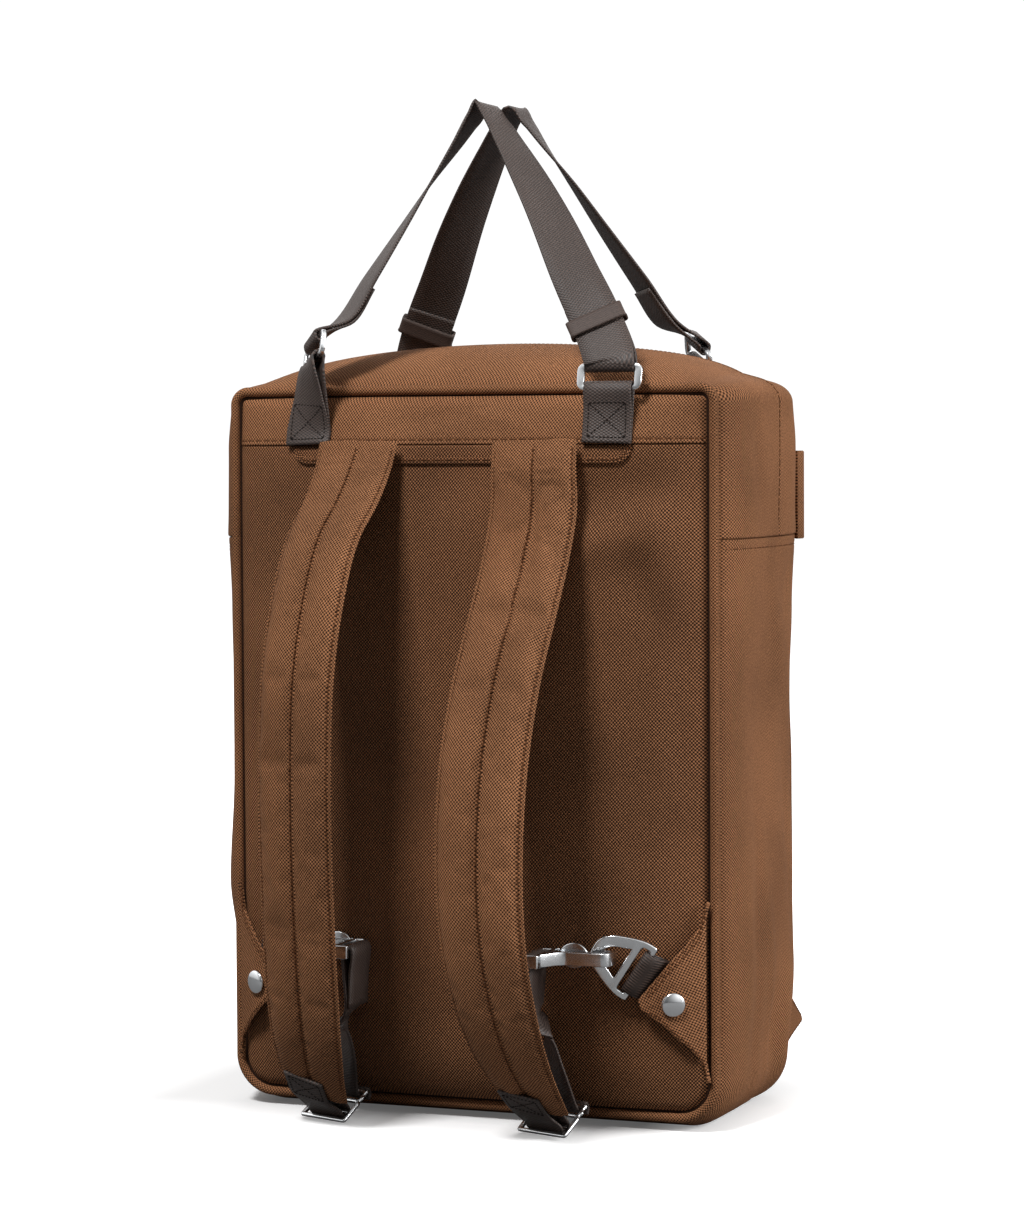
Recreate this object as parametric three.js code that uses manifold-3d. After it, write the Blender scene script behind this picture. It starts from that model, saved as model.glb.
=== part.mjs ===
// Convertible backpack: a soft rectangular bag with two padded shoulder straps and two tote
// handles. Millimetres, +Z up, the floor at z = 0 and the origin under the middle of the body.
// The carrying side, with the shoulder straps, faces -Y; +X is to the right seen from there.
import * as THREE from 'three';
import Module from 'manifold-3d';
import { mergeVertices } from 'three/addons/utils/BufferGeometryUtils.js';

const wasm = await Module();
wasm.setup();

// Driving sizes of the body
const BODY_WIDTH = 282;
const BODY_DEPTH = 124;
const SEAM_LOW = 8;
const SEAM_TOP = 402;
const SIDE_SEAM = 321;
const YOKE_SEAM = 372.5;
const ZIP_Y = 12;
const CORNER_LOW = 20;
const CORNER_TOP = 14;
const BACK_BULGE = 22;
const FRONT_BULGE = 14;
const SIDE_SWELL = 13;
const CROWN_RISE = 27;
const CLOTH = 2;
const GAP = 0.3;
const LAY = 0.6;

// Webbing and its metal
const WEB = 1.5;
const HANDLE_WIDTH = 28;
const ADJUST_WIDTH = 25;
const BAR = 2.6;
const TURN_RADIUS = 2.9;
const WEB_PITCH = 2.2;
const RING_LENGTH = 37;
const RING_HEIGHT = 15;
const RING_SIDE = 4.2;
const RING_X = BODY_WIDTH / 2 - 55;
const RING_OUT = BODY_DEPTH / 2 + 11;
const RING_Z = SEAM_TOP + 6.5;
const HANDLE_TOP = 562.5;
const HANDLE_LEAN = RING_OUT - 16;
const KEEPER_HEIGHT = 9.5;
const ANCHOR_FOOT = 373;
const ANCHOR_LAY = 0.45;
const ANCHOR_TURN = 3.1;

// Shoulder straps
const STRAP_WIDTH = 50;
const STRAP_THICK = 10;
const STRAP_TOP = 371.5;
const STRAP_BOW = 100;
const PATCH_DEPTH = 11;
const PATCH_HALF = 97;
const PATCH_CLOTH = 1.2;

// Corner hardware
const HOOK_Z = 97;
const HOOK_HEIGHT = 7.4;
const HOOK_REACH = BODY_WIDTH / 2 - 47.2;
const HOOK_EYE = BODY_WIDTH / 2 - 90.5;
const EYE_BAR = 2.5;
const EYE_SLOT = 4.8;
const EYE_Y = -BODY_DEPTH / 2 - 42.2;
const EYE_LENGTH = 30.5;
const SHANK_Y = EYE_Y + 4.4;
const SHANK_THICK = 3.3;
const GATE_Y = EYE_Y + 16.4;
const GATE_THICK = 2.2;
const GATE_END = HOOK_REACH - 13;
const PIN_RADIUS = 0.9;
const PIN_PLAY = 0.3;
const DRING_THICK = 3;
const RIVET_RADIUS = 6.5;
const RIVET_RISE = 2.4;
const TAB_CLOTH = 2.4;

const vec = (x, y, z) => new THREE.Vector3(x, y, z);
const lerp = THREE.MathUtils.lerp;
const radians = THREE.MathUtils.degToRad;
const clamp01 = (value) => THREE.MathUtils.clamp(value, 0, 1);

const FINISHES = {
  canvas: { color: 0x86583a, roughness: 0.85, metalness: 0 },
  webbing: { color: 0x41352f, roughness: 0.8, metalness: 0 },
  metal: { color: 0xc8cacc, roughness: 0.25, metalness: 1 },
};

// Value of a column of a table at a place between its rows, eased from row to row
function fromTable(rows, place, column) {
  let i = 0;
  while (i < rows.length - 2 && place > rows[i + 1].at) i += 1;
  const share = clamp01((place - rows[i].at) / (rows[i + 1].at - rows[i].at));
  return lerp(rows[i][column], rows[i + 1][column], share * share * (3 - 2 * share));
}

// Closed geometry from points and triangles, turned so that its faces point outwards
function solid(points, triangles) {
  let volume = 0;
  for (const [a, b, c] of triangles) volume += points[a].dot(points[b].clone().cross(points[c]));
  const geometry = new THREE.BufferGeometry();
  const ordered = volume < 0 ? triangles.map(([a, b, c]) => [a, c, b]) : triangles;
  geometry.setAttribute('position', new THREE.Float32BufferAttribute(points.flatMap((p) => p.toArray()), 3));
  geometry.setIndex(ordered.flat());
  geometry.computeVertexNormals();
  return geometry;
}

// Joins closed section loops one after another. The ends are closed by a 'fan', by a 'strip'
// between the two skins of a wall, or by each other as a 'ring'.
function loft(loops, ends) {
  const count = loops[0].length;
  const triangles = [];
  const spans = ends === 'ring' ? loops.length : loops.length - 1;
  for (let i = 0; i < spans; i += 1) {
    const here = i * count;
    const next = ((i + 1) % loops.length) * count;
    for (let j = 0; j < count; j += 1) {
      const k = (j + 1) % count;
      // Both skins of a thin wall are cut along the same diagonal, so a twist keeps its thickness
      if (j < count / 2) triangles.push([here + j, next + j, next + k], [here + j, next + k, here + k]);
      else triangles.push([here + j, next + j, here + k], [next + j, next + k, here + k]);
    }
  }
  const last = (loops.length - 1) * count;
  if (ends === 'fan') {
    for (let j = 1; j < count - 1; j += 1) {
      triangles.push([0, j, j + 1], [last, last + j + 1, last + j]);
    }
  }
  if (ends === 'strip') {
    for (let j = 0; j < count / 2 - 1; j += 1) {
      const a = count - 1 - j;
      triangles.push([0 + j, j + 1, a - 1], [j, a - 1, a]);
      triangles.push([last + j, last + a - 1, last + j + 1], [last + j, last + a, last + a - 1]);
    }
  }
  return solid(loops.flat(), triangles);
}

// A cloth wall: an outer grid of points and the same grid moved inwards by its thickness
function wall(rows, inner) {
  return loft(rows.map((row, i) => [...row, ...row.map((p, j) => inner(p, i, j)).reverse()]), 'strip');
}

// Body surfaces

// Waves of the front seam and swelling of the sides, as shares of depth and SIDE_SWELL, against
// height as a share of SEAM_TOP
const SIDE_ROWS = [
  { at: 0.0, seam: 0.02, left: 0.6, right: 0.6 },
  { at: 0.06, seam: -0.07, left: 0.7, right: 0.7 },
  { at: 0.2, seam: 0.05, left: 0.85, right: 1.0 },
  { at: 0.31, seam: 0.06, left: 1.15, right: 0.9 },
  { at: 0.47, seam: 0.05, left: 0.65, right: 0.75 },
  { at: 0.57, seam: 0.02, left: 0.6, right: 0.8 },
  { at: 0.7, seam: 0.04, left: 0.8, right: 0.95 },
  { at: 0.82, seam: 0.09, left: 1.05, right: 1.05 },
  { at: 0.92, seam: 0.08, left: 0.95, right: 1.1 },
  { at: 1.0, seam: 0.0, left: 1.0, right: 1.1 },
];

// Dents (negative) and bulges of the body walls. Places are shares of the half width or half
// depth and of SEAM_TOP, sizes are shares of BODY_WIDTH, rise is a share of BACK_BULGE.
const BACK_FOLDS = [
  { across: 0.62, up: 0.86, wide: 0.16, tall: 0.05, rise: -0.14 },
  { across: 0.55, up: 0.8, wide: 0.16, tall: 0.05, rise: 0.12 },
  { across: 0.0, up: 0.88, wide: 0.14, tall: 0.07, rise: -0.14 },
  { across: -0.72, up: 0.55, wide: 0.1, tall: 0.2, rise: 0.1 },
  { across: 0.1, up: 0.3, wide: 0.3, tall: 0.2, rise: 0.08 },
];
const SIDE_FOLDS = [
  { side: 1, across: 0.35, up: 0.12, wide: 0.07, tall: 0.14, rise: -0.28 },
  { side: 1, across: 0.72, up: 0.1, wide: 0.06, tall: 0.12, rise: 0.2 },
  { side: 1, across: -0.1, up: 0.55, wide: 0.1, tall: 0.25, rise: -0.12 },
  { side: -1, across: 0.2, up: 0.3, wide: 0.1, tall: 0.2, rise: -0.12 },
];

// Sum of round hills, one for each fold that fits the test
function foldRise(folds, across, up, fits) {
  let rise = 0;
  for (const fold of folds) {
    if (fits && !fits(fold)) continue;
    const a = (across - fold.across) * BODY_WIDTH / 2 / (fold.wide * BODY_WIDTH);
    const b = (up - fold.up) * SEAM_TOP / (fold.tall * BODY_WIDTH);
    rise += fold.rise * BACK_BULGE * Math.exp(-a * a - b * b);
  }
  return rise;
}

const seamWave = (z) => BODY_DEPTH * fromTable(SIDE_ROWS, z / SEAM_TOP, 'seam');

// Stand-off of the back and front panels from their seam plane: a pillow, highest in the middle
function pillow(x, z) {
  const u = clamp01(Math.abs(x) / (BODY_WIDTH / 2));
  const v = clamp01(Math.abs(z - (SEAM_TOP + SEAM_LOW) / 2) / ((SEAM_TOP - SEAM_LOW) / 2));
  return Math.pow(1 - u ** 3, 0.9) * Math.pow(1 - v ** 7, 0.8);
}
function backSkin(x, z) {
  const rim = pillow(x, z);
  const folds = foldRise(BACK_FOLDS, x / (BODY_WIDTH / 2), z / SEAM_TOP) * Math.min(1, 2 * rim);
  return -BODY_DEPTH / 2 - GAP / 2 - CLOTH - BACK_BULGE * rim - folds;
}
function frontSkin(x, z) {
  return BODY_DEPTH / 2 + GAP / 2 + CLOTH + seamWave(z) + FRONT_BULGE * pillow(x, z);
}

// Right half of the seam outline, from the bottom middle up to the top middle: place, outward
// direction, and the heights where the side seam and the yoke seam cut it
const FLAT_SHARES = [0, 0.25, 0.5, 0.75];
const CORNER_STEPS = 4;
const SIDE_STEPS = 9;
const SOLE_FLAT = 0.72;
function halfOutline() {
  const half = BODY_WIDTH / 2;
  const points = [];
  const add = (x, z, nx, nz) => points.push({ x, z, nx, nz });
  for (const share of FLAT_SHARES) add(share * (half - CORNER_LOW), SEAM_LOW, 0, -1);
  for (let i = 0; i <= CORNER_STEPS; i += 1) {
    const turn = (i / CORNER_STEPS) * Math.PI / 2;
    add(half - CORNER_LOW + CORNER_LOW * Math.sin(turn), SEAM_LOW + CORNER_LOW * (1 - Math.cos(turn)),
      Math.sin(turn), -Math.cos(turn));
  }
  const sideLow = SEAM_LOW + CORNER_LOW;
  const cuts = [SIDE_SEAM - GAP / 2, SIDE_SEAM + GAP / 2, YOKE_SEAM - GAP / 2, YOKE_SEAM + GAP / 2];
  const rise = (SIDE_SEAM - sideLow) / SIDE_STEPS;
  for (let i = 1; i < SIDE_STEPS; i += 1) add(half, sideLow + rise * i, 1, 0);
  for (const cut of cuts) add(half, cut, 1, 0);
  for (let i = 0; i <= CORNER_STEPS; i += 1) {
    const turn = (i / CORNER_STEPS) * Math.PI / 2;
    add(half - CORNER_TOP + CORNER_TOP * Math.cos(turn), SEAM_TOP - CORNER_TOP * (1 - Math.sin(turn)),
      Math.cos(turn), Math.sin(turn));
  }
  for (const share of [...FLAT_SHARES].reverse()) add(share * (half - CORNER_TOP), SEAM_TOP, 0, 1);
  return points;
}
const OUTLINE = halfOutline();
const mirrored = (points) => points.map((p) => ({ ...p, x: -p.x, nx: -p.nx }));

// A back or front panel between two heights, on the rows of the seam outline
const PANEL_COLUMNS = [-1, -0.91, -0.75, -0.5, -0.25, 0, 0.25, 0.5, 0.75, 0.91, 1];
function panel(skin, low, high, inward) {
  const levels = OUTLINE.filter((p) => p.x > 0 && p.z >= low - 0.01 && p.z <= high + 0.01)
    .filter((p, i, all) => i === 0 || Math.abs(p.z - all[i - 1].z) > 0.01 || p.x > all[i - 1].x);
  const rows = new Map();
  for (const level of levels) {
    const key = level.z.toFixed(3);
    rows.set(key, Math.max(rows.get(key) ?? 0, level.x));
  }
  const grid = [...rows].map(([z, half]) => PANEL_COLUMNS.map((u) => vec(u * half, skin(u * half, Number(z)), Number(z))));
  return wall(grid, (p) => vec(p.x, p.y + inward * CLOTH, p.z));
}

// The gusset's stand-off from the seam outline at a share t of the half depth
function swell(point, t) {
  const side = point.x < 0 ? 'left' : 'right';
  const sides = SIDE_SWELL * fromTable(SIDE_ROWS, point.z / SEAM_TOP, side) * Math.pow(1 - t ** 4, 0.7);
  const arch = 1 - 0.55 * (point.x / (BODY_WIDTH / 2)) ** 2;
  const crown = CROWN_RISE * arch * Math.pow(1 - t * t, 0.75);
  const sole = SEAM_LOW * Math.sqrt(clamp01((1 - Math.abs(t)) / (1 - SOLE_FLAT)));
  const folds = foldRise(SIDE_FOLDS, t, point.z / SEAM_TOP, (fold) => fold.side === Math.sign(point.x));
  const level = point.nz > 0 ? crown : sole;
  return point.nx ** 2 * (sides + folds * (1 - t ** 4)) + point.nz ** 2 * level;
}

// One gusset strip over a run of outline points, between two shares of the half depth
function gusset(points, shares) {
  const place = (point, share) => {
    const t = share;
    const out = swell(point, t);
    const y = t * BODY_DEPTH / 2 + (t > 0 ? t * t * seamWave(point.z) : 0);
    return vec(point.x + point.nx * out, y - Math.sign(t) * (Math.abs(t) === 1 ? GAP / 2 : 0), point.z + point.nz * out);
  };
  const rows = points.map((point) => shares.map((share) => place(point, share)));
  return wall(rows, (p, i, j) => {
    const point = points[i];
    const z = point.z - point.nz * CLOTH;
    const wave = shares[j] > 0 ? shares[j] ** 2 * (seamWave(z) - seamWave(point.z)) : 0;
    return vec(p.x - point.nx * CLOTH, p.y + wave, p.z - point.nz * CLOTH);
  });
}
const LOW_SHARES = [-1, -0.9, -SOLE_FLAT, -0.4, 0, 0.4, SOLE_FLAT, 0.9, 1];
const ZIP_SHARE = ZIP_Y / (BODY_DEPTH / 2);
const ZIP_GAP = GAP / BODY_DEPTH;
const BACK_SHARES = [-1, -0.9, -0.7, -0.4, -0.1, ZIP_SHARE - ZIP_GAP];
const FRONT_SHARES = [ZIP_SHARE + ZIP_GAP, 0.45, 0.7, 0.9, 1];
const lowHalf = OUTLINE.filter((p) => p.z < SIDE_SEAM);
const topHalf = OUTLINE.filter((p) => p.z > SIDE_SEAM);
const lowRun = [...lowHalf.slice(1).reverse(), ...mirrored(lowHalf)];
const topRun = [...topHalf, ...mirrored(topHalf.slice(0, -1)).reverse()];

// Straps and webbing

// A smooth course through rows of { p, wide, width, thick }, with steps between two rows
function course(rows, steps) {
  const spots = new THREE.CatmullRomCurve3(rows.map((row) => row.p), false, 'centripetal');
  const wides = new THREE.CatmullRomCurve3(rows.map((row) => row.wide), false, 'catmullrom', 0.5);
  const stations = [];
  const total = (rows.length - 1) * steps;
  for (let i = 0; i <= total; i += 1) {
    const at = i / steps;
    const low = Math.min(Math.floor(at), rows.length - 2);
    stations.push({
      p: spots.getPoint(i / total),
      along: spots.getTangent(i / total),
      wide: wides.getPoint(i / total),
      width: lerp(rows[low].width, rows[low + 1].width, at - low),
      thick: lerp(rows[low].thick, rows[low + 1].thick, at - low),
    });
  }
  return stations;
}

// The directions of a station: across its width and through its thickness
function axesOf(station) {
  const wide = station.wide.clone().addScaledVector(station.along, -station.wide.dot(station.along)).normalize();
  return { wide, through: station.along.clone().cross(wide).normalize() };
}

// Sections as shares of the half width and half thickness
const WEB_SECTION = [[-1, -1], [1, -1], [1, 1], [-1, 1]];
const PAD_SECTION = [[-1, -0.25], [-0.86, -0.8], [-0.4, -1], [0.4, -1], [0.86, -0.8],
  [1, -0.25], [1, 0.25], [0.86, 0.8], [0.4, 1], [-0.4, 1], [-0.86, 0.8], [-1, 0.25]];
function sectionLoop(station, section) {
  const { wide, through } = axesOf(station);
  return section.map(([a, b]) => station.p.clone()
    .addScaledVector(wide, a * station.width / 2)
    .addScaledVector(through, b * station.thick / 2));
}
const ribbon = (stations, section = WEB_SECTION) => loft(stations.map((s) => sectionLoop(s, section)), 'fan');

// Rows of webbing that turn round a bar, from its near side to its far side, with a short
// straight leg at each end. `from` is the direction that the webbing comes from, and `near` the
// side of the bar that it comes down on.
const TURN_STEPS = 4;
const TURN_LEG = 2.4;
function turnRound(bar, wide, from, near, width, radius = TURN_RADIUS) {
  const row = (across, back) => ({
    p: bar.clone().addScaledVector(near, across).addScaledVector(from, back), wide, width, thick: WEB,
  });
  const rows = [row(radius, TURN_LEG)];
  for (let i = 0; i <= TURN_STEPS; i += 1) {
    const turn = (i / TURN_STEPS) * Math.PI;
    rows.push(row(radius * Math.cos(turn), -radius * Math.sin(turn)));
  }
  return [...rows, row(-radius, TURN_LEG)];
}

// Handles

// A flat ring: its middle, its long direction and the direction from its low to its high bar
function ringSpot(middle, long, rise) {
  const wide = long.clone().normalize();
  const up = rise.clone().addScaledVector(wide, -rise.dot(wide)).normalize();
  const reach = RING_HEIGHT / 2 - BAR / 2;
  return {
    middle,
    wide,
    up,
    face: wide.clone().cross(up),
    high: middle.clone().addScaledVector(up, reach),
    low: middle.clone().addScaledVector(up, -reach),
  };
}
function roundedRect(shape, width, height, radius) {
  const x = width / 2;
  const y = height / 2;
  shape.moveTo(-x + radius, -y);
  shape.lineTo(x - radius, -y);
  shape.absarc(x - radius, -y + radius, radius, -Math.PI / 2, 0, false);
  shape.absarc(x - radius, y - radius, radius, 0, Math.PI / 2, false);
  shape.absarc(-x + radius, y - radius, radius, Math.PI / 2, Math.PI, false);
  shape.absarc(-x + radius, -y + radius, radius, Math.PI, Math.PI * 1.5, false);
  return shape;
}
// A plate cut out of sheet, in the plane of two directions round its middle
function plate(shape, thick, middle, across, up, curveSegments = 4) {
  const geometry = new THREE.ExtrudeGeometry(shape, { depth: thick, bevelEnabled: false, curveSegments });
  geometry.translate(0, 0, -thick / 2);
  geometry.applyMatrix4(new THREE.Matrix4().makeBasis(across, up, across.clone().cross(up)).setPosition(middle));
  return geometry;
}
function ringPlate(spot) {
  const shape = roundedRect(new THREE.Shape(), RING_LENGTH, RING_HEIGHT, 3.5);
  shape.holes.push(roundedRect(new THREE.Path(), RING_LENGTH - 2 * RING_SIDE, RING_HEIGHT - 2 * BAR, 1));
  return plate(shape, BAR, spot.middle, spot.wide, spot.up, 2);
}

// The keeper end hangs level; the slider end is turned, as the handle's twist pulls it
const KEEPER_RING = ringSpot(vec(RING_X, -RING_OUT, RING_Z), vec(1, 0, 0), vec(0, 0.2, 0.98));
const SLIDER_RING = ringSpot(vec(-RING_X - 1, -RING_OUT - 2, RING_Z + 15.5), vec(-0.62, 0.68, -0.36), vec(0.0, 0.3, 0.95));
// The webbing gathers where the turned ring pulls it to one side
const GATHER = 0.76;

// Handle course from keeper end over the top to slider end: height as a share of the rise from
// RING_Z to HANDLE_TOP, sideways as a share of RING_X, and the turn of the webbing in degrees
const HANDLE_ROWS = [
  { up: 0.18, side: 0.9, turn: 8 },
  { up: 0.37, side: 0.71, turn: 30 },
  { up: 0.56, side: 0.525, turn: 48 },
  { up: 0.72, side: 0.35, turn: 62 },
  { up: 0.85, side: 0.195, turn: 75 },
  { up: 0.945, side: 0.075, turn: 84 },
  { up: 1.0, side: -0.02, turn: 90 },
  { up: 0.945, side: -0.09, turn: 96 },
  { up: 0.85, side: -0.19, turn: 104 },
  { up: 0.72, side: -0.335, turn: 114 },
  { up: 0.56, side: -0.5, turn: 122 },
  { up: 0.37, side: -0.7, turn: 130 },
  { up: 0.22, side: -0.86, turn: 134 },
];
function handleRows(lean) {
  return HANDLE_ROWS.map((row) => {
    const turn = radians(row.turn);
    return {
      p: vec(row.side * RING_X + lean * row.up, -RING_OUT + HANDLE_LEAN * row.up, lerp(RING_Z, HANDLE_TOP, row.up)),
      wide: vec(Math.cos(turn), Math.sin(turn), 0),
      width: HANDLE_WIDTH,
      thick: WEB,
    };
  });
}
function shifted(row, direction, distance) {
  return { ...row, p: row.p.clone().addScaledVector(direction, distance) };
}
const throughOf = (a, b) => axesOf({ along: b.p.clone().sub(a.p).normalize(), wide: a.wide }).through;
const between = (a, b, share) => ({ ...a, p: a.p.clone().lerp(b.p, share), wide: a.wide.clone().lerp(b.wide, share) });
function handleCourse(lean) {
  const rows = handleRows(lean);
  const last = rows.length - 1;
  const inner = throughOf(rows[0], rows[1]);
  const innerEnd = throughOf(rows[last - 1], rows[last]);
  const near = KEEPER_RING.face.clone().negate();
  const keeperTurn = turnRound(KEEPER_RING.high, KEEPER_RING.wide, KEEPER_RING.up, near, HANDLE_WIDTH);
  const sliderTurn = turnRound(SLIDER_RING.high, SLIDER_RING.wide, SLIDER_RING.up,
    SLIDER_RING.face.clone().negate(), HANDLE_WIDTH * GATHER);
  const gathered = { ...rows[last], width: HANDLE_WIDTH * (1 + GATHER) / 2 };
  return course([
    shifted(between(rows[0], rows[1], 0.45), inner, WEB_PITCH), shifted(rows[0], inner, WEB_PITCH),
    ...keeperTurn, ...rows.slice(0, last), gathered, ...sliderTurn,
    shifted(gathered, innerEnd, WEB_PITCH), shifted(between(gathered, rows[last - 1], 0.8), innerEnd, WEB_PITCH),
  ], 2);
}

// A keeper: a sleeve round both layers, over a short run of the handle's course
function sleeve(stations, width, thick, cloth) {
  const outline = (extra) => stations.map((s) => sectionLoop({ ...s, width: width + extra, thick: thick + extra }, WEB_SECTION));
  return loft([...outline(2 * cloth), ...outline(0).reverse()], 'ring');
}
function keeper(lean) {
  const rows = handleRows(lean);
  const along = rows[1].p.clone().sub(rows[0].p).normalize();
  const { p, wide } = shifted(between(rows[0], rows[1], 0.1), throughOf(rows[0], rows[1]), WEB_PITCH / 2);
  const stations = [-0.5, 0.5].map((share) => ({
    p: p.clone().addScaledVector(along, share * KEEPER_HEIGHT), along, wide,
  }));
  return sleeve(stations, HANDLE_WIDTH + 2, WEB_PITCH + WEB + 1.8, 1.2);
}

// An anchor: two layers of webbing from the panel up round the ring's low bar and down again
function anchor(x, skin, spot, flip, gather) {
  const width = HANDLE_WIDTH - 1;
  const near = spot.face.clone().multiplyScalar(Math.sign(spot.face.y));
  const wide = spot.wide.clone().multiplyScalar(flip);
  const turn = turnRound(spot.low, wide, spot.up.clone().negate(), near, width * gather, ANCHOR_TURN);
  const foot = (share, layer) => {
    const z = lerp(ANCHOR_FOOT, SEAM_TOP, share);
    const slope = (skin(x + width / 2, z) - skin(x - width / 2, z)) / width;
    const y = skin(x, z) - ANCHOR_LAY - WEB / 2 - layer * (WEB + GAP);
    return { p: vec(x, y, z), wide: vec(1, slope, 0), width, thick: WEB };
  };
  const neck = (layer, end) => {
    const low = foot(0.45, layer);
    return { ...low, p: low.p.clone().lerp(end.p, 0.4), wide: low.wide.clone().lerp(wide, 0.5), width: width * (1 + gather) / 2 };
  };
  return ribbon(course([
    foot(0, 0), foot(0.3, 0), neck(0, turn[0]), ...turn, neck(1, turn[turn.length - 1]), foot(0.3, 1), foot(0, 1),
  ], 2));
}

// Shoulder straps

// Course of each strap from the yoke down: height as a share of STRAP_TOP, stand-off from the
// seam plane as a share of STRAP_BOW, sideways as a share of the half width, turn in degrees,
// width and thickness as shares of STRAP_WIDTH and STRAP_THICK
const STRAP_ROWS = {
  right: [
    { up: 1.0, out: 0.235, side: 0.335, turn: 0, width: 0.96, thick: 0.28 },
    { up: 0.965, out: 0.27, side: 0.34, turn: 0, width: 0.98, thick: 0.8 },
    { up: 0.91, out: 0.29, side: 0.345, turn: 0, width: 1, thick: 1 },
    { up: 0.84, out: 0.39, side: 0.34, turn: 0, width: 1, thick: 1 },
    { up: 0.765, out: 0.56, side: 0.335, turn: 0, width: 1, thick: 1 },
    { up: 0.66, out: 0.81, side: 0.33, turn: 0, width: 1, thick: 1 },
    { up: 0.54, out: 1.0, side: 0.33, turn: 0, width: 1, thick: 1 },
    { up: 0.41, out: 1.08, side: 0.335, turn: -2, width: 1, thick: 1 },
    { up: 0.3, out: 1.06, side: 0.345, turn: -5, width: 1, thick: 1 },
    { up: 0.21, out: 0.96, side: 0.36, turn: -8, width: 1, thick: 0.95 },
    { up: 0.135, out: 0.8, side: 0.375, turn: -12, width: 0.92, thick: 0.85 },
    { up: 0.08, out: 0.62, side: 0.39, turn: -16, width: 0.78, thick: 0.7 },
    { up: 0.046, out: 0.47, side: 0.395, turn: -19, width: 0.68, thick: 0.5 },
  ],
  left: [
    { up: 1.0, out: 0.225, side: 0.4, turn: -4, width: 0.96, thick: 0.28 },
    { up: 0.965, out: 0.3, side: 0.405, turn: -8, width: 0.98, thick: 0.8 },
    { up: 0.92, out: 0.44, side: 0.41, turn: -12, width: 1, thick: 1 },
    { up: 0.86, out: 0.68, side: 0.42, turn: -15, width: 1, thick: 1 },
    { up: 0.765, out: 0.87, side: 0.425, turn: -15, width: 1, thick: 1 },
    { up: 0.66, out: 0.96, side: 0.435, turn: -15, width: 1, thick: 1 },
    { up: 0.54, out: 0.98, side: 0.44, turn: -15, width: 1, thick: 1 },
    { up: 0.41, out: 0.96, side: 0.445, turn: -15, width: 1, thick: 1 },
    { up: 0.3, out: 0.9, side: 0.455, turn: -15, width: 1, thick: 1 },
    { up: 0.21, out: 0.82, side: 0.47, turn: -15, width: 1, thick: 0.95 },
    { up: 0.135, out: 0.71, side: 0.49, turn: -16, width: 0.92, thick: 0.85 },
    { up: 0.08, out: 0.58, side: 0.51, turn: -18, width: 0.78, thick: 0.7 },
    { up: 0.046, out: 0.47, side: 0.52, turn: -20, width: 0.68, thick: 0.5 },
  ],
};
const SIDES = { right: 1, left: -1 };
function strapStations(name) {
  return course(STRAP_ROWS[name].map((row) => ({
    p: vec(SIDES[name] * row.side * BODY_WIDTH / 2, -BODY_DEPTH / 2 - row.out * STRAP_BOW, row.up * STRAP_TOP),
    wide: vec(Math.cos(radians(row.turn)), Math.sin(radians(row.turn)), 0),
    width: row.width * STRAP_WIDTH,
    thick: row.thick * STRAP_THICK,
  })), 2);
}

// A buckle: a flat frame with four bars. It stands on the end of its front bar and leans up
// towards the bag.
const BUCKLE_WIDTH = 34;
const BUCKLE_SHEET = 2;
const BUCKLE_LEAN = 34;
const BUCKLE_SLOT = 28.4;
const BUCKLE_BARS = [1.2, 7.6, 16.4, 23.8];
const BUCKLE_BAR = 2.4;
const BUCKLE_LIFT = 2.4;
const BUCKLE_BACK = 7;
const FOOT_WIDTH = 25.5;
function buckleSpot(name) {
  const stations = strapStations(name);
  const end = stations[stations.length - 1];
  const wide = end.wide.clone().normalize();
  const level = vec(-wide.y, wide.x, 0);
  const lean = radians(BUCKLE_LEAN);
  const along = level.multiplyScalar(Math.cos(lean)).add(vec(0, 0, Math.sin(lean)));
  const front = vec(end.p.x, end.p.y + BUCKLE_BACK, BUCKLE_LIFT);
  const bar = (i) => front.clone().addScaledVector(along, BUCKLE_BARS[i] - BUCKLE_BARS[0]);
  return { stations, wide, along, up: wide.clone().cross(along), front, bar };
}
function buckle(name) {
  const { wide, along, bar } = buckleSpot(name);
  const length = BUCKLE_BARS[3] + BUCKLE_BAR / 2;
  const shape = roundedRect(new THREE.Shape(), BUCKLE_WIDTH, length, 2);
  for (let i = 0; i < 3; i += 1) {
    const hole = new THREE.Path();
    const low = BUCKLE_BARS[i] + BUCKLE_BAR / 2 - length / 2;
    const high = BUCKLE_BARS[i + 1] - BUCKLE_BAR / 2 - length / 2;
    hole.moveTo(-BUCKLE_SLOT / 2, low);
    hole.lineTo(-BUCKLE_SLOT / 2, high);
    hole.lineTo(BUCKLE_SLOT / 2, high);
    hole.lineTo(BUCKLE_SLOT / 2, low);
    shape.holes.push(hole);
  }
  const middle = bar(0).addScaledVector(along, length / 2 - BUCKLE_BARS[0]);
  return plate(shape, BUCKLE_SHEET, middle, wide, along);
}

// The tongue lies on both faces of the strap's end and turns round the buckle's second bar
function tongue(name) {
  const { stations, wide, along, up, bar } = buckleSpot(name);
  const lay = (back, face) => {
    const station = stations[stations.length - 1 - back];
    const reach = station.thick / 2 + LAY + WEB / 2;
    const p = station.p.clone().addScaledVector(axesOf(station).through, face * reach);
    return { p, wide: station.wide, width: FOOT_WIDTH, thick: WEB };
  };
  return ribbon(course([
    lay(2, 1), lay(1, 1), lay(0, 1),
    ...turnRound(bar(1), wide, up, along.clone().negate(), FOOT_WIDTH),
    lay(0, -1), lay(1, -1), lay(2, -1),
  ], 2));
}

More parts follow.
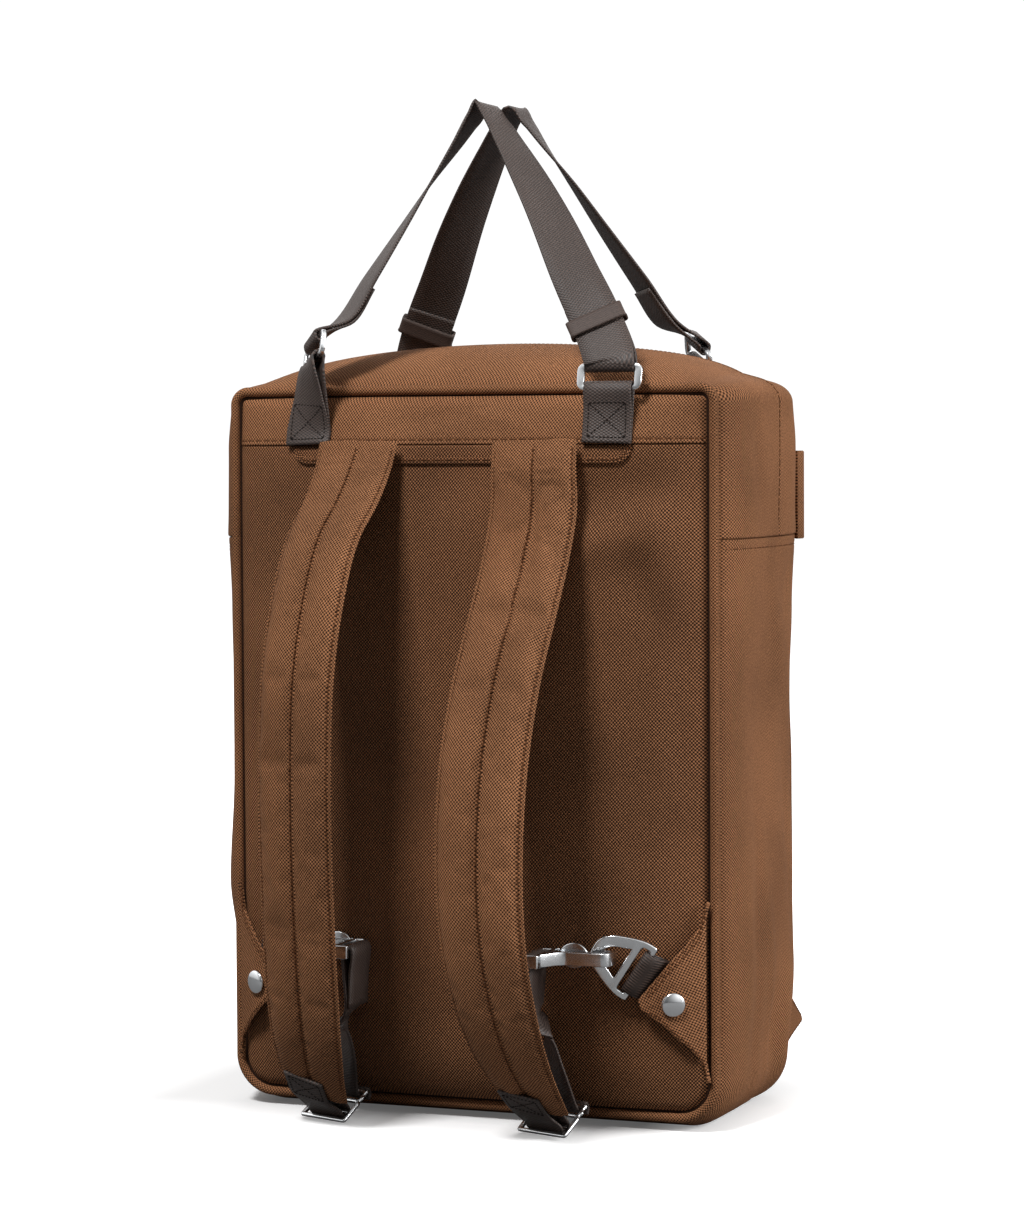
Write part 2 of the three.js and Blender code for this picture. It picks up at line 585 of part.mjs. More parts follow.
// The adjusting webbing: a short layer, a turn over the hook's eye, a long fall behind the strap,
// a turn under the buckle's last bar and a curled tail
function adjustWebbing(name) {
  const side = SIDES[name];
  const { wide, along, up, bar } = buckleSpot(name);
  const eye = vec(side * (HOOK_EYE + EYE_BAR / 2), EYE_Y, HOOK_Z);
  const foot = bar(3);
  const cross = vec(0, -1, 0);
  const row = (p, across) => ({ p, wide: across, width: ADJUST_WIDTH, thick: WEB });
  const fall = (x, dy, z, share) => row(vec(eye.x + side * x, EYE_Y + dy, z), cross.clone().lerp(wide, share));
  const eyeTurn = turnRound(eye, cross, vec(0, 0, -1), vec(-side, 0, 0), ADJUST_WIDTH);
  const footTurn = turnRound(foot, wide, up, along.clone().negate(), ADJUST_WIDTH);
  const near = footTurn[0].p;
  const tail = (out, rise) => row(foot.clone().addScaledVector(along, out).addScaledVector(up, rise), wide);
  return ribbon(course([
    fall(-0.6, 0, HOOK_Z - 31, 0), fall(-1.6, 0, HOOK_Z - 12, 0),
    ...eyeTurn,
    fall(2.2, 0, HOOK_Z - 12, 0), fall(1.7, 0.5, HOOK_Z - 31, 0.05),
    row(near.clone().lerp(eye, 0.52).add(vec(side * 1.5, 1, 0)), cross.clone().lerp(wide, 0.3)),
    row(near.clone().lerp(eye, 0.28).add(vec(0, -1, 0)), cross.clone().lerp(wide, 0.7)),
    ...footTurn.slice(0, TURN_STEPS + 1),
    tail(4.8, -1.6), tail(4.4, -5), tail(1.6, -7.2),
  ], 2));
}

// Snap hooks, drawn from above and carried through the hook's height
function solidOf(geometry) {
  const bare = geometry.clone();
  for (const name of ['normal', 'uv']) bare.deleteAttribute(name);
  const merged = mergeVertices(bare, 1e-4);
  return new wasm.Manifold(new wasm.Mesh({
    numProp: 3,
    vertProperties: merged.attributes.position.array,
    triVerts: Uint32Array.from(merged.index.array),
  }));
}
function geometryOf(manifold) {
  const mesh = manifold.getMesh();
  const geometry = new THREE.BufferGeometry();
  geometry.setAttribute('position', new THREE.Float32BufferAttribute(mesh.vertProperties, 3));
  geometry.setIndex([...mesh.triVerts]);
  geometry.computeVertexNormals();
  return geometry;
}
const block = (x0, x1, y0, y1, z0, z1) => {
  const box = new THREE.BoxGeometry(Math.abs(x1 - x0), y1 - y0, z1 - z0);
  return solidOf(box.translate((x0 + x1) / 2, (y0 + y1) / 2, (z0 + z1) / 2));
};
const upright = (x, y, radius, height) => solidOf(
  new THREE.CylinderGeometry(radius, radius, height, 16).rotateX(Math.PI / 2).translate(x, y, HOOK_Z),
);
const EYE_INNER = HOOK_EYE + 2 * EYE_BAR + EYE_SLOT;
const PIVOT_X = EYE_INNER - 0.8;
const LUG_RADIUS = 2.3;
const POCKET = 2.7;
const TIP_BACK = GATE_Y + GATE_THICK / 2;
function hook(name) {
  const side = SIDES[name];
  const half = HOOK_HEIGHT / 2;
  const low = HOOK_Z - half;
  const high = HOOK_Z + half;
  const box = (x0, x1, y0, y1, z0 = low, z1 = high) => block(side * x0, side * x1, y0, y1, z0, z1);
  const eyeFront = EYE_Y - EYE_LENGTH / 2;
  const eyeBack = EYE_Y + EYE_LENGTH / 2;
  const webRoom = (ADJUST_WIDTH + 1) / 2;
  const shankFront = SHANK_Y - SHANK_THICK / 2;
  let body = box(HOOK_EYE, EYE_INNER, eyeFront, eyeBack);
  body = body.subtract(box(HOOK_EYE + EYE_BAR, EYE_INNER - EYE_BAR, EYE_Y - webRoom, EYE_Y + webRoom, low - 1, high + 1));
  const barHalf = BAR / 2;
  body = body.subtract(box(HOOK_EYE - 1, HOOK_EYE + EYE_BAR + 1, EYE_Y - webRoom, EYE_Y + webRoom, HOOK_Z + barHalf, high + 1));
  body = body.subtract(box(HOOK_EYE - 1, HOOK_EYE + EYE_BAR + 1, EYE_Y - webRoom, EYE_Y + webRoom, low - 1, HOOK_Z - barHalf));
  body = body.add(box(EYE_INNER - 1, HOOK_REACH, shankFront, shankFront + SHANK_THICK));
  body = body.add(box(HOOK_REACH - SHANK_THICK, HOOK_REACH, shankFront, TIP_BACK));
  body = body.add(box(GATE_END + 0.5, HOOK_REACH, TIP_BACK - GATE_THICK, TIP_BACK));
  body = body.add(upright(side * PIVOT_X, GATE_Y, LUG_RADIUS, HOOK_HEIGHT));
  const pocket = box(PIVOT_X - 2.6, PIVOT_X + 4, GATE_Y - 2.6, GATE_Y + 4, HOOK_Z - POCKET, HOOK_Z + POCKET);
  return geometryOf(body.subtract(pocket).add(upright(side * PIVOT_X, GATE_Y, PIN_RADIUS, HOOK_HEIGHT)));
}
function gate(name) {
  const side = SIDES[name];
  const knuckle = POCKET - PIN_PLAY;
  const face = [GATE_Y - GATE_THICK / 2, GATE_Y + GATE_THICK / 2];
  const thumb = new THREE.Shape();
  thumb.absellipse(side * (PIVOT_X + 10), HOOK_Z, 7.2, 7, 0, Math.PI * 2, false);
  const plateSolid = solidOf(new THREE.ExtrudeGeometry(thumb, { depth: GATE_THICK, bevelEnabled: false, curveSegments: 10 })
    .rotateX(Math.PI / 2).translate(0, face[1], 0));
  const arm = block(side * PIVOT_X, side * GATE_END, face[0], face[1], HOOK_Z - knuckle, HOOK_Z + knuckle);
  const lever = arm.add(plateSolid).add(upright(side * PIVOT_X, GATE_Y, LUG_RADIUS - 0.4, 2 * knuckle));
  return geometryOf(lever.subtract(upright(side * PIVOT_X, GATE_Y, PIN_RADIUS + PIN_PLAY, HOOK_HEIGHT)));
}

// Corner D-ring in a plane of its own: `bar` runs along its bars and `pull` towards the webbing
const DRING = { x: BODY_WIDTH / 2 - 43, y: -BODY_DEPTH / 2 - 26, z: HOOK_Z - 6, shift: 2.6, slotBar: 8.1, turn: 3 };
function dringAxes(side) {
  const bar = vec(side * 0.553, 0, 0.833).normalize();
  const pull = vec(side * 0.8, 0.27, -0.531);
  pull.addScaledVector(bar, -pull.dot(bar)).normalize();
  const middle = vec(side * DRING.x, DRING.y, DRING.z);
  return { bar, pull, middle, at: (p, q) => middle.clone().addScaledVector(bar, p + DRING.shift).addScaledVector(pull, q) };
}
// Half outlines of the ring and its window: along the bars and along the pull
const DRING_EDGE = [[16.4, 9.3], [16.6, 3.1], [14.6, -4], [9.8, -15], [4.6, -19.4]];
const DRING_SLOT = [[13.8, 6.9], [13.8, 2]];
const DRING_WINDOW = [[10.4, -2.2], [8.6, -5.5], [5.8, -12.5], [2.6, -15.3]];
function halves(shape, half) {
  const all = [...half, ...[...half].reverse().map(([p, q]) => [-p, q])];
  all.forEach(([p, q], i) => (i ? shape.lineTo(p, q) : shape.moveTo(p, q)));
  return shape;
}
function cornerRing(name) {
  const { bar, pull, at } = dringAxes(SIDES[name]);
  const cut = (edge, thick) => solidOf(plate(halves(new THREE.Shape(), edge), thick, at(0, 0), bar, pull));
  const body = cut(DRING_EDGE, DRING_THICK);
  return geometryOf(body.subtract(cut(DRING_WINDOW, 2 * DRING_THICK)).subtract(cut(DRING_SLOT, 2 * DRING_THICK)));
}

// Two layers of webbing from the corner seam round the D-ring's outer bar
function ringWebbing(name) {
  const side = SIDES[name];
  const { bar, pull, at } = dringAxes(side);
  const loop = at(0, DRING.slotBar);
  const face = bar.clone().cross(pull);
  const out = face.multiplyScalar(-Math.sign(face.y));
  const lay = (reach, layer) => {
    const spot = at(0, reach);
    const half = bar.clone().multiplyScalar(ADJUST_WIDTH / 2);
    const tilt = backSkin(spot.x + half.x, spot.z + half.z) - backSkin(spot.x - half.x, spot.z - half.z);
    const y = backSkin(spot.x, spot.z) - LAY - WEB / 2 - layer * (WEB + GAP);
    return { p: vec(spot.x, y, spot.z), wide: vec(bar.x, tilt / ADJUST_WIDTH, bar.z), width: ADJUST_WIDTH, thick: WEB };
  };
  const turn = turnRound(loop, bar, pull, out.clone().negate(), ADJUST_WIDTH, DRING.turn);
  return ribbon(course([lay(24, 0), lay(18, 0), ...turn, lay(18, 1), lay(24, 1)], 2));
}

// Corner tab: a folded corner of cloth over the webbing. Its upper and lower edge run from the
// inner corner to the side seam, as shares of the half width and of SEAM_TOP.
const TAB_ROWS = [
  { at: 0.0, upperX: 0.745, upperZ: 0.185, lowerX: 0.755, lowerZ: 0.172 },
  { at: 0.3, upperX: 0.84, upperZ: 0.226, lowerX: 0.845, lowerZ: 0.147 },
  { at: 0.6, upperX: 0.915, upperZ: 0.258, lowerX: 0.925, lowerZ: 0.118 },
  { at: 0.82, upperX: 0.96, upperZ: 0.28, lowerX: 0.97, lowerZ: 0.096 },
  { at: 1.0, upperX: 0.995, upperZ: 0.315, lowerX: 0.995, lowerZ: 0.07 },
];
const TAB_LIFT = 5.9;
const TAB_RAMP = 0.12;
const TAB_STEPS = 7;
function tabSkin(x, z) {
  const inward = clamp01((1 - Math.abs(x) / (BODY_WIDTH / 2)) / TAB_RAMP);
  return backSkin(x, z) - LAY - TAB_LIFT * inward;
}
function cornerTab(name) {
  const half = SIDES[name] * BODY_WIDTH / 2;
  const rows = [];
  for (let i = 0; i <= TAB_STEPS; i += 1) {
    const at = i / TAB_STEPS;
    const value = (column) => fromTable(TAB_ROWS, at, column);
    rows.push([0, 0.25, 0.5, 0.75, 1].map((share) => {
      const x = half * lerp(value('upperX'), value('lowerX'), share);
      const z = SEAM_TOP * lerp(value('upperZ'), value('lowerZ'), share);
      return vec(x, tabSkin(x, z) - TAB_CLOTH, z);
    }));
  }
  return wall(rows, (p) => vec(p.x, p.y + TAB_CLOTH, p.z));
}

// Rivet: a low dome set square on the tab
const RIVET_X = 0.875;
const RIVET_Z = 0.179;
function rivet(name) {
  const x = SIDES[name] * RIVET_X * BODY_WIDTH / 2;
  const z = RIVET_Z * SEAM_TOP;
  const reach = RIVET_RADIUS * 0.6;
  const slopeX = (tabSkin(x + reach, z) - tabSkin(x - reach, z)) / (2 * reach);
  const slopeZ = (tabSkin(x, z + reach) - tabSkin(x, z - reach)) / (2 * reach);
  const normal = vec(slopeX, -1, slopeZ).normalize();
  const profile = [[0, 0], [1, 0], [1, 0.3], [0.86, 0.66], [0.5, 0.94], [0, 1]]
    .map(([r, h]) => new THREE.Vector2(r * RIVET_RADIUS, h * RIVET_RISE));
  const geometry = new THREE.LatheGeometry(profile, 16);
  const seat = vec(x, tabSkin(x, z) - TAB_CLOTH, z).addScaledVector(normal, 2 * GAP);
  return geometry.applyQuaternion(new THREE.Quaternion().setFromUnitVectors(vec(0, 1, 0), normal))
    .translate(seat.x, seat.y, seat.z);
}

// The patch under the straps, hemmed below the yoke seam
function strapPatch() {
  const rows = [];
  for (const share of [0, 0.3, 1]) {
    const z = lerp(YOKE_SEAM - GAP - PATCH_DEPTH, YOKE_SEAM - GAP, share);
    const half = PATCH_HALF - (1 - share) ** 2 * 6;
    const columns = 16;
    rows.push(Array.from({ length: columns + 1 }, (_, j) => {
      const x = lerp(-half, half, j / columns);
      return vec(x, backSkin(x, z) - LAY - PATCH_CLOTH, z);
    }));
  }
  return wall(rows, (p) => vec(p.x, p.y + PATCH_CLOTH, p.z));
}

// Front trim that shows past the right edge: a folded loop of cloth and a corner tab
const LOOP_LOW = 0.79;
const LOOP_HIGH = 0.915;
const LOOP_REACH = 14;
function frontLoop() {
  const height = (LOOP_HIGH - LOOP_LOW) * SEAM_TOP;
  const z = (LOOP_HIGH + LOOP_LOW) / 2 * SEAM_TOP;
  const x = BODY_WIDTH / 2 + CLOTH / 2 + 0.4;
  const y = BODY_DEPTH / 2 + seamWave(z);
  const row = (dx, dy) => ({ p: vec(x + dx, y + dy, z), wide: vec(0, 0, 1), width: height, thick: CLOTH });
  return ribbon(course([row(0, 1), row(0, LOOP_REACH * 0.6), row(1.6, LOOP_REACH), row(4.4, LOOP_REACH * 0.7), row(3.4, 1)], 3));
}
const FRONT_TAB = { high: 0.145, tip: 0.1, low: 0.07, reach: 32 };
function frontTab() {
  const [high, tip, low] = [FRONT_TAB.high, FRONT_TAB.tip, FRONT_TAB.low].map((share) => share * SEAM_TOP);
  const seam = (z) => BODY_DEPTH / 2 + seamWave(z);
  const shape = new THREE.Shape();
  shape.moveTo(seam(high), high);
  shape.lineTo(seam(tip) + FRONT_TAB.reach, tip + 1);
  shape.lineTo(seam(tip) + FRONT_TAB.reach - 1, tip - 3);
  shape.lineTo(seam(low), low);
  return plate(shape, TAB_CLOTH, vec(BODY_WIDTH / 2 + 1 + TAB_CLOTH / 2, 0, 0), vec(0, 1, 0), vec(0, 0, 1));
}

// The scene graph

const backpack = new THREE.Group();
function piece(parent, name, finish, geometry) {
  const mesh = new THREE.Mesh(geometry, new THREE.MeshStandardMaterial(FINISHES[finish]));
  mesh.name = name;
  parent.add(mesh);
  return mesh;
}

piece(backpack, 'back_panel', 'canvas', panel(backSkin, 0, YOKE_SEAM - GAP / 2, 1));
piece(backpack, 'back_yoke', 'canvas', panel(backSkin, YOKE_SEAM + GAP / 2, SEAM_TOP, 1));
piece(backpack, 'front_panel', 'canvas', panel(frontSkin, 0, SEAM_TOP, -1));
piece(backpack, 'lower_gusset', 'canvas', gusset(lowRun, LOW_SHARES));
piece(backpack, 'top_gusset_back', 'canvas', gusset(topRun, BACK_SHARES));
piece(backpack, 'top_gusset_front', 'canvas', gusset(topRun, FRONT_SHARES));
piece(backpack, 'strap_patch', 'canvas', strapPatch());
piece(backpack, 'front_loop', 'canvas', frontLoop());
piece(backpack, 'front_tab', 'canvas', frontTab());

for (const name of Object.keys(SIDES)) {
  piece(backpack, `shoulder_strap_${name}`, 'canvas', ribbon(strapStations(name), PAD_SECTION));
  piece(backpack, `strap_tongue_${name}`, 'webbing', tongue(name));
  piece(backpack, `ladder_buckle_${name}`, 'metal', buckle(name));
  piece(backpack, `adjust_webbing_${name}`, 'webbing', adjustWebbing(name));
  piece(backpack, `hook_${name}`, 'metal', hook(name));
  piece(backpack, `gate_${name}`, 'metal', gate(name));
  piece(backpack, `corner_ring_${name}`, 'metal', cornerRing(name));
  piece(backpack, `ring_webbing_${name}`, 'webbing', ringWebbing(name));
  piece(backpack, `corner_tab_${name}`, 'canvas', cornerTab(name));
  piece(backpack, `rivet_${name}`, 'metal', rivet(name));
}

// Both handles are alike; the front one is the back one turned half round, so its keeper end is
// on the left. The anchors follow the panel that they are sewn to.
const HANDLES = {
  back: { turn: 0, lean: -7, keeper: 'right', slider: 'left', skin: backSkin },
  front: { turn: Math.PI, lean: 3, keeper: 'left', slider: 'right', skin: (x, z) => -frontSkin(-x, z) },
};
for (const [place, { turn, lean, keeper: keeperSide, slider, skin }] of Object.entries(HANDLES)) {
  const group = new THREE.Group();
  group.rotation.z = turn;
  backpack.add(group);
  piece(group, `handle_${place}`, 'webbing', ribbon(handleCourse(lean)));
  piece(group, `keeper_${place}`, 'webbing', keeper(lean));
  piece(group, `handle_ring_${place}_${keeperSide}`, 'metal', ringPlate(KEEPER_RING));
  piece(group, `handle_ring_${place}_${slider}`, 'metal', ringPlate(SLIDER_RING));
  piece(group, `handle_anchor_${place}_${keeperSide}`, 'webbing', anchor(RING_X, skin, KEEPER_RING, 1, 1));
  piece(group, `handle_anchor_${place}_${slider}`, 'webbing', anchor(-RING_X - 4, skin, SLIDER_RING, -1, GATHER));
}

export default backpack;
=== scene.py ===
"""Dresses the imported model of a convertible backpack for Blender.

The frame gives every size that pieces must keep. Lengths in this file are millimetres and become
metres when a mesh is made. +Z is up and the side with the shoulder straps faces -Y.
"""

import math

import bmesh
import bpy
import numpy as np
from bpy.props import FloatProperty, FloatVectorProperty, PointerProperty
from mathutils import Matrix, Vector
from mathutils.geometry import tessellate_polygon


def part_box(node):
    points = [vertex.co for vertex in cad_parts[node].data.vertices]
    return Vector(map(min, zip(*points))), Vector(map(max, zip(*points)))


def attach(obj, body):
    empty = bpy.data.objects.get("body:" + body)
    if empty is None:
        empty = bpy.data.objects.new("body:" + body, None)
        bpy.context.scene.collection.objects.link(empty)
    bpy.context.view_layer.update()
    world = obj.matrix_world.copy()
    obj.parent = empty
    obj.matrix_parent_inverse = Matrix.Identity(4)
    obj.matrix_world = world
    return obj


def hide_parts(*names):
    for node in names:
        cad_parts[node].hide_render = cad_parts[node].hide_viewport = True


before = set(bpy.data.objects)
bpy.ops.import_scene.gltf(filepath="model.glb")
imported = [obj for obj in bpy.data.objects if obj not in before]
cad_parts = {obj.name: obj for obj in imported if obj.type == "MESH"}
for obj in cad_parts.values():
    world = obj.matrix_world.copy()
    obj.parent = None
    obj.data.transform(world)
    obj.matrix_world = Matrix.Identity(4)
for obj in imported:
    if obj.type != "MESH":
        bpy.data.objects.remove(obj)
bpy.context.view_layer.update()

bl_info = {
    "name": "Convertible backpack",
    "version": (1, 0, 0),
    "blender": (4, 5, 0),
    "location": "View3D > Sidebar > Backpack",
    "description": "Cloth, webbing and metal of a convertible backpack",
    "category": "Object",
}

MM = 0.001
SIDES = {"right": 1, "left": -1}


def linear(code):
    """Linear RGBA of an sRGB hex colour: each channel over 12.92, or ((c + 0.055) / 1.055) ** 2.4."""
    channels = [int(code[i:i + 2], 16) / 255 for i in (1, 3, 5)]
    return tuple(c / 12.92 if c <= 0.04045 else ((c + 0.055) / 1.055) ** 2.4 for c in channels) + (1.0,)


def node_box(name):
    """Lowest and highest corner of a CAD node, in millimetres."""
    low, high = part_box(name)
    return np.array(low) / MM, np.array(high) / MM


def table(columns, *rows):
    """Rows of numbers as dictionaries keyed by the names of their columns."""
    return [dict(zip(columns, values)) for values in rows]


# Sizes of the body, read from the frame
PANEL_LOW, PANEL_HIGH = node_box("back_panel")
YOKE_LOW, YOKE_HIGH = node_box("back_yoke")
HALF = PANEL_HIGH[0]
SEAM_LOW = PANEL_LOW[2]
SEAM_TOP = YOKE_HIGH[2]
GAP = YOKE_LOW[2] - PANEL_HIGH[2]
YOKE_SEAM = PANEL_HIGH[2] + GAP / 2
SIDE_SEAM = node_box("lower_gusset")[1][2] + GAP / 2
DEPTH = -2 * PANEL_HIGH[1] - GAP
ZIP_Y = node_box("top_gusset_front")[0][1]

# Shape of the body's cloth, as in the part, apart from tighter top corners
CORNER_LOW = 20
CORNER_TOP = 7
BACK_BULGE = 22
FRONT_BULGE = 14
SIDE_SWELL = 13
CROWN_RISE = 27
SOLE_FLAT = 0.72
CLOTH = 2
LAY = 0.6
# Share of the pillow's rise from which folds are whole. They fade out from there to the seams.
FOLD_FADE = 0.5

# Waves of the front seam and swelling of the sides, as shares of DEPTH and SIDE_SWELL, against
# height as a share of SEAM_TOP
SIDE_ROWS = table(
    ("at", "seam", "left", "right"),
    (0.0, 0.02, 0.7, 0.6), (0.06, -0.07, 0.8, 0.7), (0.2, 0.05, 0.8, 1.0), (0.31, 0.06, 1.45, 0.9),
    (0.47, 0.05, 1.1, 0.75), (0.57, 0.02, 1.05, 0.8), (0.7, 0.04, 1.15, 0.95), (0.82, 0.09, 1.35, 1.05),
    (0.92, 0.08, 1.3, 1.1), (1.0, 0.0, 1.0, 1.1),
)

# Dents and bulges of the panel: place and size in millimetres, turn in degrees, rise outwards
BACK_FOLDS = table(
    ("x", "z", "wide", "tall", "turn", "rise"),
    (87, 346, 40, 15, 8, -5.0), (84, 318, 40, 13, 14, 3.6), (0, 354, 40, 20, 0, -3.1),
    (-101, 221, 28, 56, 0, 2.2), (14, 121, 84, 56, 0, 1.8), (114, 334, 9, 24, -34, 2.2),
    (106, 292, 12, 30, 24, -2.4), (118, 258, 10, 34, -12, 1.6), (126, 210, 7, 30, 8, -0.9),
    (20, 60, 60, 12, 8, -1.2), (78, 40, 40, 9, -14, 1.2), (-10, 389, 26, 6, 12, -1.5),
    (22, 387, 20, 5, -16, 1.1), (-128, 330, 8, 30, 6, 1.2), (-132, 150, 7, 40, -4, -1.1),
)
# The same on the gusset: side, share of the half depth, height, size, turn and rise
SIDE_FOLDS = table(
    ("side", "t", "z", "wide", "tall", "turn", "rise"),
    (1, 0.35, 48, 20, 39, 0, -6.2), (1, 0.72, 40, 17, 34, 0, 4.4), (1, -0.1, 221, 28, 70, 0, -2.6),
    (-1, 0.2, 121, 28, 56, 0, -2.6), (1, 0.05, 60, 7, 60, 5, 2.2), (1, -0.35, 90, 8, 70, -3, -1.8),
    (1, 0.62, 150, 8, 60, 6, -2.0), (1, 0.3, 268, 9, 34, 24, 1.6), (1, 0.55, 300, 8, 22, -30, -1.5),
    (1, -0.4, 360, 9, 26, 14, -1.2), (1, 0.5, 356, 10, 26, -18, 1.4), (-1, -0.3, 200, 9, 60, 4, 1.8),
    (-1, 0.4, 60, 9, 50, -6, -2.2),
)


def eased(rows, column, at):
    """A column of a table at places between its rows: neighbours mixed by 3s^2 - 2s^3."""
    places = np.array([row["at"] for row in rows])
    values = np.array([row[column] for row in rows])
    i = np.clip(np.searchsorted(places, at, side="right") - 1, 0, len(rows) - 2)
    s = np.clip((at - places[i]) / (places[i + 1] - places[i]), 0, 1)
    return values[i] + (values[i + 1] - values[i]) * s * s * (3 - 2 * s)


def seam_wave(z):
    """How far the front seam waves from its plane at a height."""
    return DEPTH * eased(SIDE_ROWS, "seam", z / SEAM_TOP)


def hills(across, up, folds):
    """Sum of stretched round hills: rise * exp(-(a / wide)^2 - (b / tall)^2) along turned axes."""
    total = np.zeros(np.broadcast(across, up).shape)
    for centre, fold in folds:
        turn = math.radians(fold["turn"])
        a = (across - centre[0]) * math.cos(turn) + (up - centre[1]) * math.sin(turn)
        b = (up - centre[1]) * math.cos(turn) - (across - centre[0]) * math.sin(turn)
        total = total + fold["rise"] * np.exp(-(a / fold["wide"]) ** 2 - (b / fold["tall"]) ** 2)
    return total


def pillow(x, z):
    """Stand-off of a sewn panel, 1 in the middle and 0 at its seams: (1 - u^3)^0.9 (1 - v^7)^0.8."""
    u = np.clip(np.abs(x) / HALF, 0, 1)
    v = np.clip(np.abs(z - (SEAM_TOP + SEAM_LOW) / 2) / ((SEAM_TOP - SEAM_LOW) / 2), 0, 1)
    return (1 - u ** 3) ** 0.9 * (1 - v ** 7) ** 0.8


def back_skin(x, z):
    """Outer face of the carrying side: seam plane, pillow and folds."""
    rim = pillow(x, z)
    folds = hills(x, z, [((f["x"], f["z"]), f) for f in BACK_FOLDS]) * np.minimum(1, rim / FOLD_FADE)
    return -DEPTH / 2 - GAP / 2 - CLOTH - BACK_BULGE * rim - folds


def front_skin(x, z):
    """Outer face of the front side: seam plane with its wave, and pillow."""
    return DEPTH / 2 + GAP / 2 + CLOTH + seam_wave(z) + FRONT_BULGE * pillow(x, z)


def ridge(distance, rise, reach):
    """A soft ridge along a line: rise * exp(-(distance / reach)^2)."""
    return rise * np.exp(-(distance / reach) ** 2)


def roll(distance, width, depth):
    """Cloth turning into a seam: a quarter ellipse that drops by depth over a width."""
    s = np.clip(1 - distance / width, 0, 1)
    return depth * (1 - np.sqrt(np.clip(1 - s * s, 0, 1)))


def to_outline(x, z):
    """Distance inwards from the rounded seam outline of a panel."""
    middle = (SEAM_TOP + SEAM_LOW) / 2
    radius = np.where(z < middle, CORNER_LOW, CORNER_TOP)
    qx = np.abs(x) - (HALF - radius)
    qz = np.abs(z - middle) - ((SEAM_TOP - SEAM_LOW) / 2 - radius)
    outside = np.hypot(np.maximum(qx, 0), np.maximum(qz, 0))
    return radius - outside - np.minimum(np.maximum(qx, qz), 0)


def half_width(z):
    """Half width of the seam outline at a height: straight sides with quarter circles below and above."""
    low = np.clip(CORNER_LOW - (z - SEAM_LOW), 0, CORNER_LOW)
    top = np.clip(CORNER_TOP - (SEAM_TOP - z), 0, CORNER_TOP)
    return (HALF - CORNER_LOW + np.sqrt(CORNER_LOW ** 2 - low ** 2)
            - (CORNER_TOP - np.sqrt(CORNER_TOP ** 2 - top ** 2)))


def crowded(low, high, count, crowd=0.65):
    """Values from low to high, closer together near both ends: a line mixed with a sine."""
    s = np.linspace(-1, 1, count)
    s = (1 - crowd) * s + crowd * np.sin(s * np.pi / 2)
    return low + (high - low) * (s + 1) / 2


# Mesh making


def new_object(name, points, faces, uv=None):
    """An object at the origin from points in millimetres, with a UV for each point if given."""
    mesh = bpy.data.meshes.new(name)
    mesh.from_pydata((np.asarray(points).reshape(-1, 3) * MM).tolist(), [], faces)
    if uv is not None:
        layer = mesh.uv_layers.new(name="cloth")
        corner = np.empty(len(mesh.loops), dtype=np.int32)
        mesh.loops.foreach_get("vertex_index", corner)
        layer.data.foreach_set("uv", (np.asarray(uv).reshape(-1, 2)[corner] * MM).ravel())
    mesh.polygons.foreach_set("use_smooth", np.ones(len(mesh.polygons), dtype=bool))
    mesh.update()
    obj = bpy.data.objects.new(name, mesh)
    bpy.context.scene.collection.objects.link(obj)
    return obj


def grid_faces(rows, columns, wrap=False):
    """Quads between neighbours of a grid of points, and round its rows if wrapped."""
    spans = columns if wrap else columns - 1
    i, j = np.meshgrid(np.arange(rows - 1), np.arange(spans), indexing="ij")
    k = (j + 1) % columns
    quads = np.stack([i * columns + j, i * columns + k, (i + 1) * columns + k, (i + 1) * columns + j], -1)
    return quads.reshape(-1, 4).tolist()


def cloth_sheet(name, points, uv, outward, thick):
    """A sheet from a grid of outer points, thickened inwards. outward is a direction that its
    faces point to on average, or None for away from the body's middle line."""
    rows, columns = points.shape[:2]
    du, dv = np.gradient(points, axis=(0, 1))
    normal = np.cross(dv, du)
    if outward is None:
        outward = points * [1, 1, 0] + [0, 0, 1] * (points - [0, 0, SEAM_TOP / 2])
    faces = grid_faces(rows, columns)
    if (normal * outward).sum() < 0:
        faces = [face[::-1] for face in faces]
    obj = new_object(name, points, faces, uv)
    solidify = obj.modifiers.new("Thickness", "SOLIDIFY")
    solidify.thickness = thick * MM
    solidify.offset = -1
    return obj


def tube(name, rings, uv):
    """A closed solid from rings of points one after another, its two ends closed by a face."""
    count, around = rings.shape[:2]
    faces = grid_faces(count, around, wrap=True)
    faces.append(list(range(around)))
    faces.append(list(range((count - 1) * around, count * around))[::-1])
    obj = new_object(name, rings, faces, uv)
    outwards(obj)
    return obj


def outwards(obj, merge=None):
    """Turns all faces outwards, after merging points closer than a distance if given."""
    work = bmesh.new()
    work.from_mesh(obj.data)
    if merge:
        bmesh.ops.remove_doubles(work, verts=work.verts, dist=merge * MM)
    bmesh.ops.recalc_face_normals(work, faces=work.faces)
    work.to_mesh(obj.data)
    work.free()


def place(obj, material, replaces=(), body="bag"):
    """Gives a piece its material and slot, seats it on its CAD body and hides what it stands for."""
    obj.data.materials.clear()
    obj.data.materials.append(material)
    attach(obj, body)
    if replaces:
        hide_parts(*replaces)
    return obj


# Courses of straps and webbing


def unit(v):
    """Vectors scaled to length 1."""
    return v / np.maximum(np.linalg.norm(v, axis=-1, keepdims=True), 1e-9)


def vec(*values):
    """A vector of its values."""
    return np.array(values, dtype=float)


def row(p, wide, width, thick):
    """One row of a course: a point, the direction of its width, and its width and thickness."""
    return {"p": vec(*p), "wide": vec(*wide), "width": width, "thick": thick}


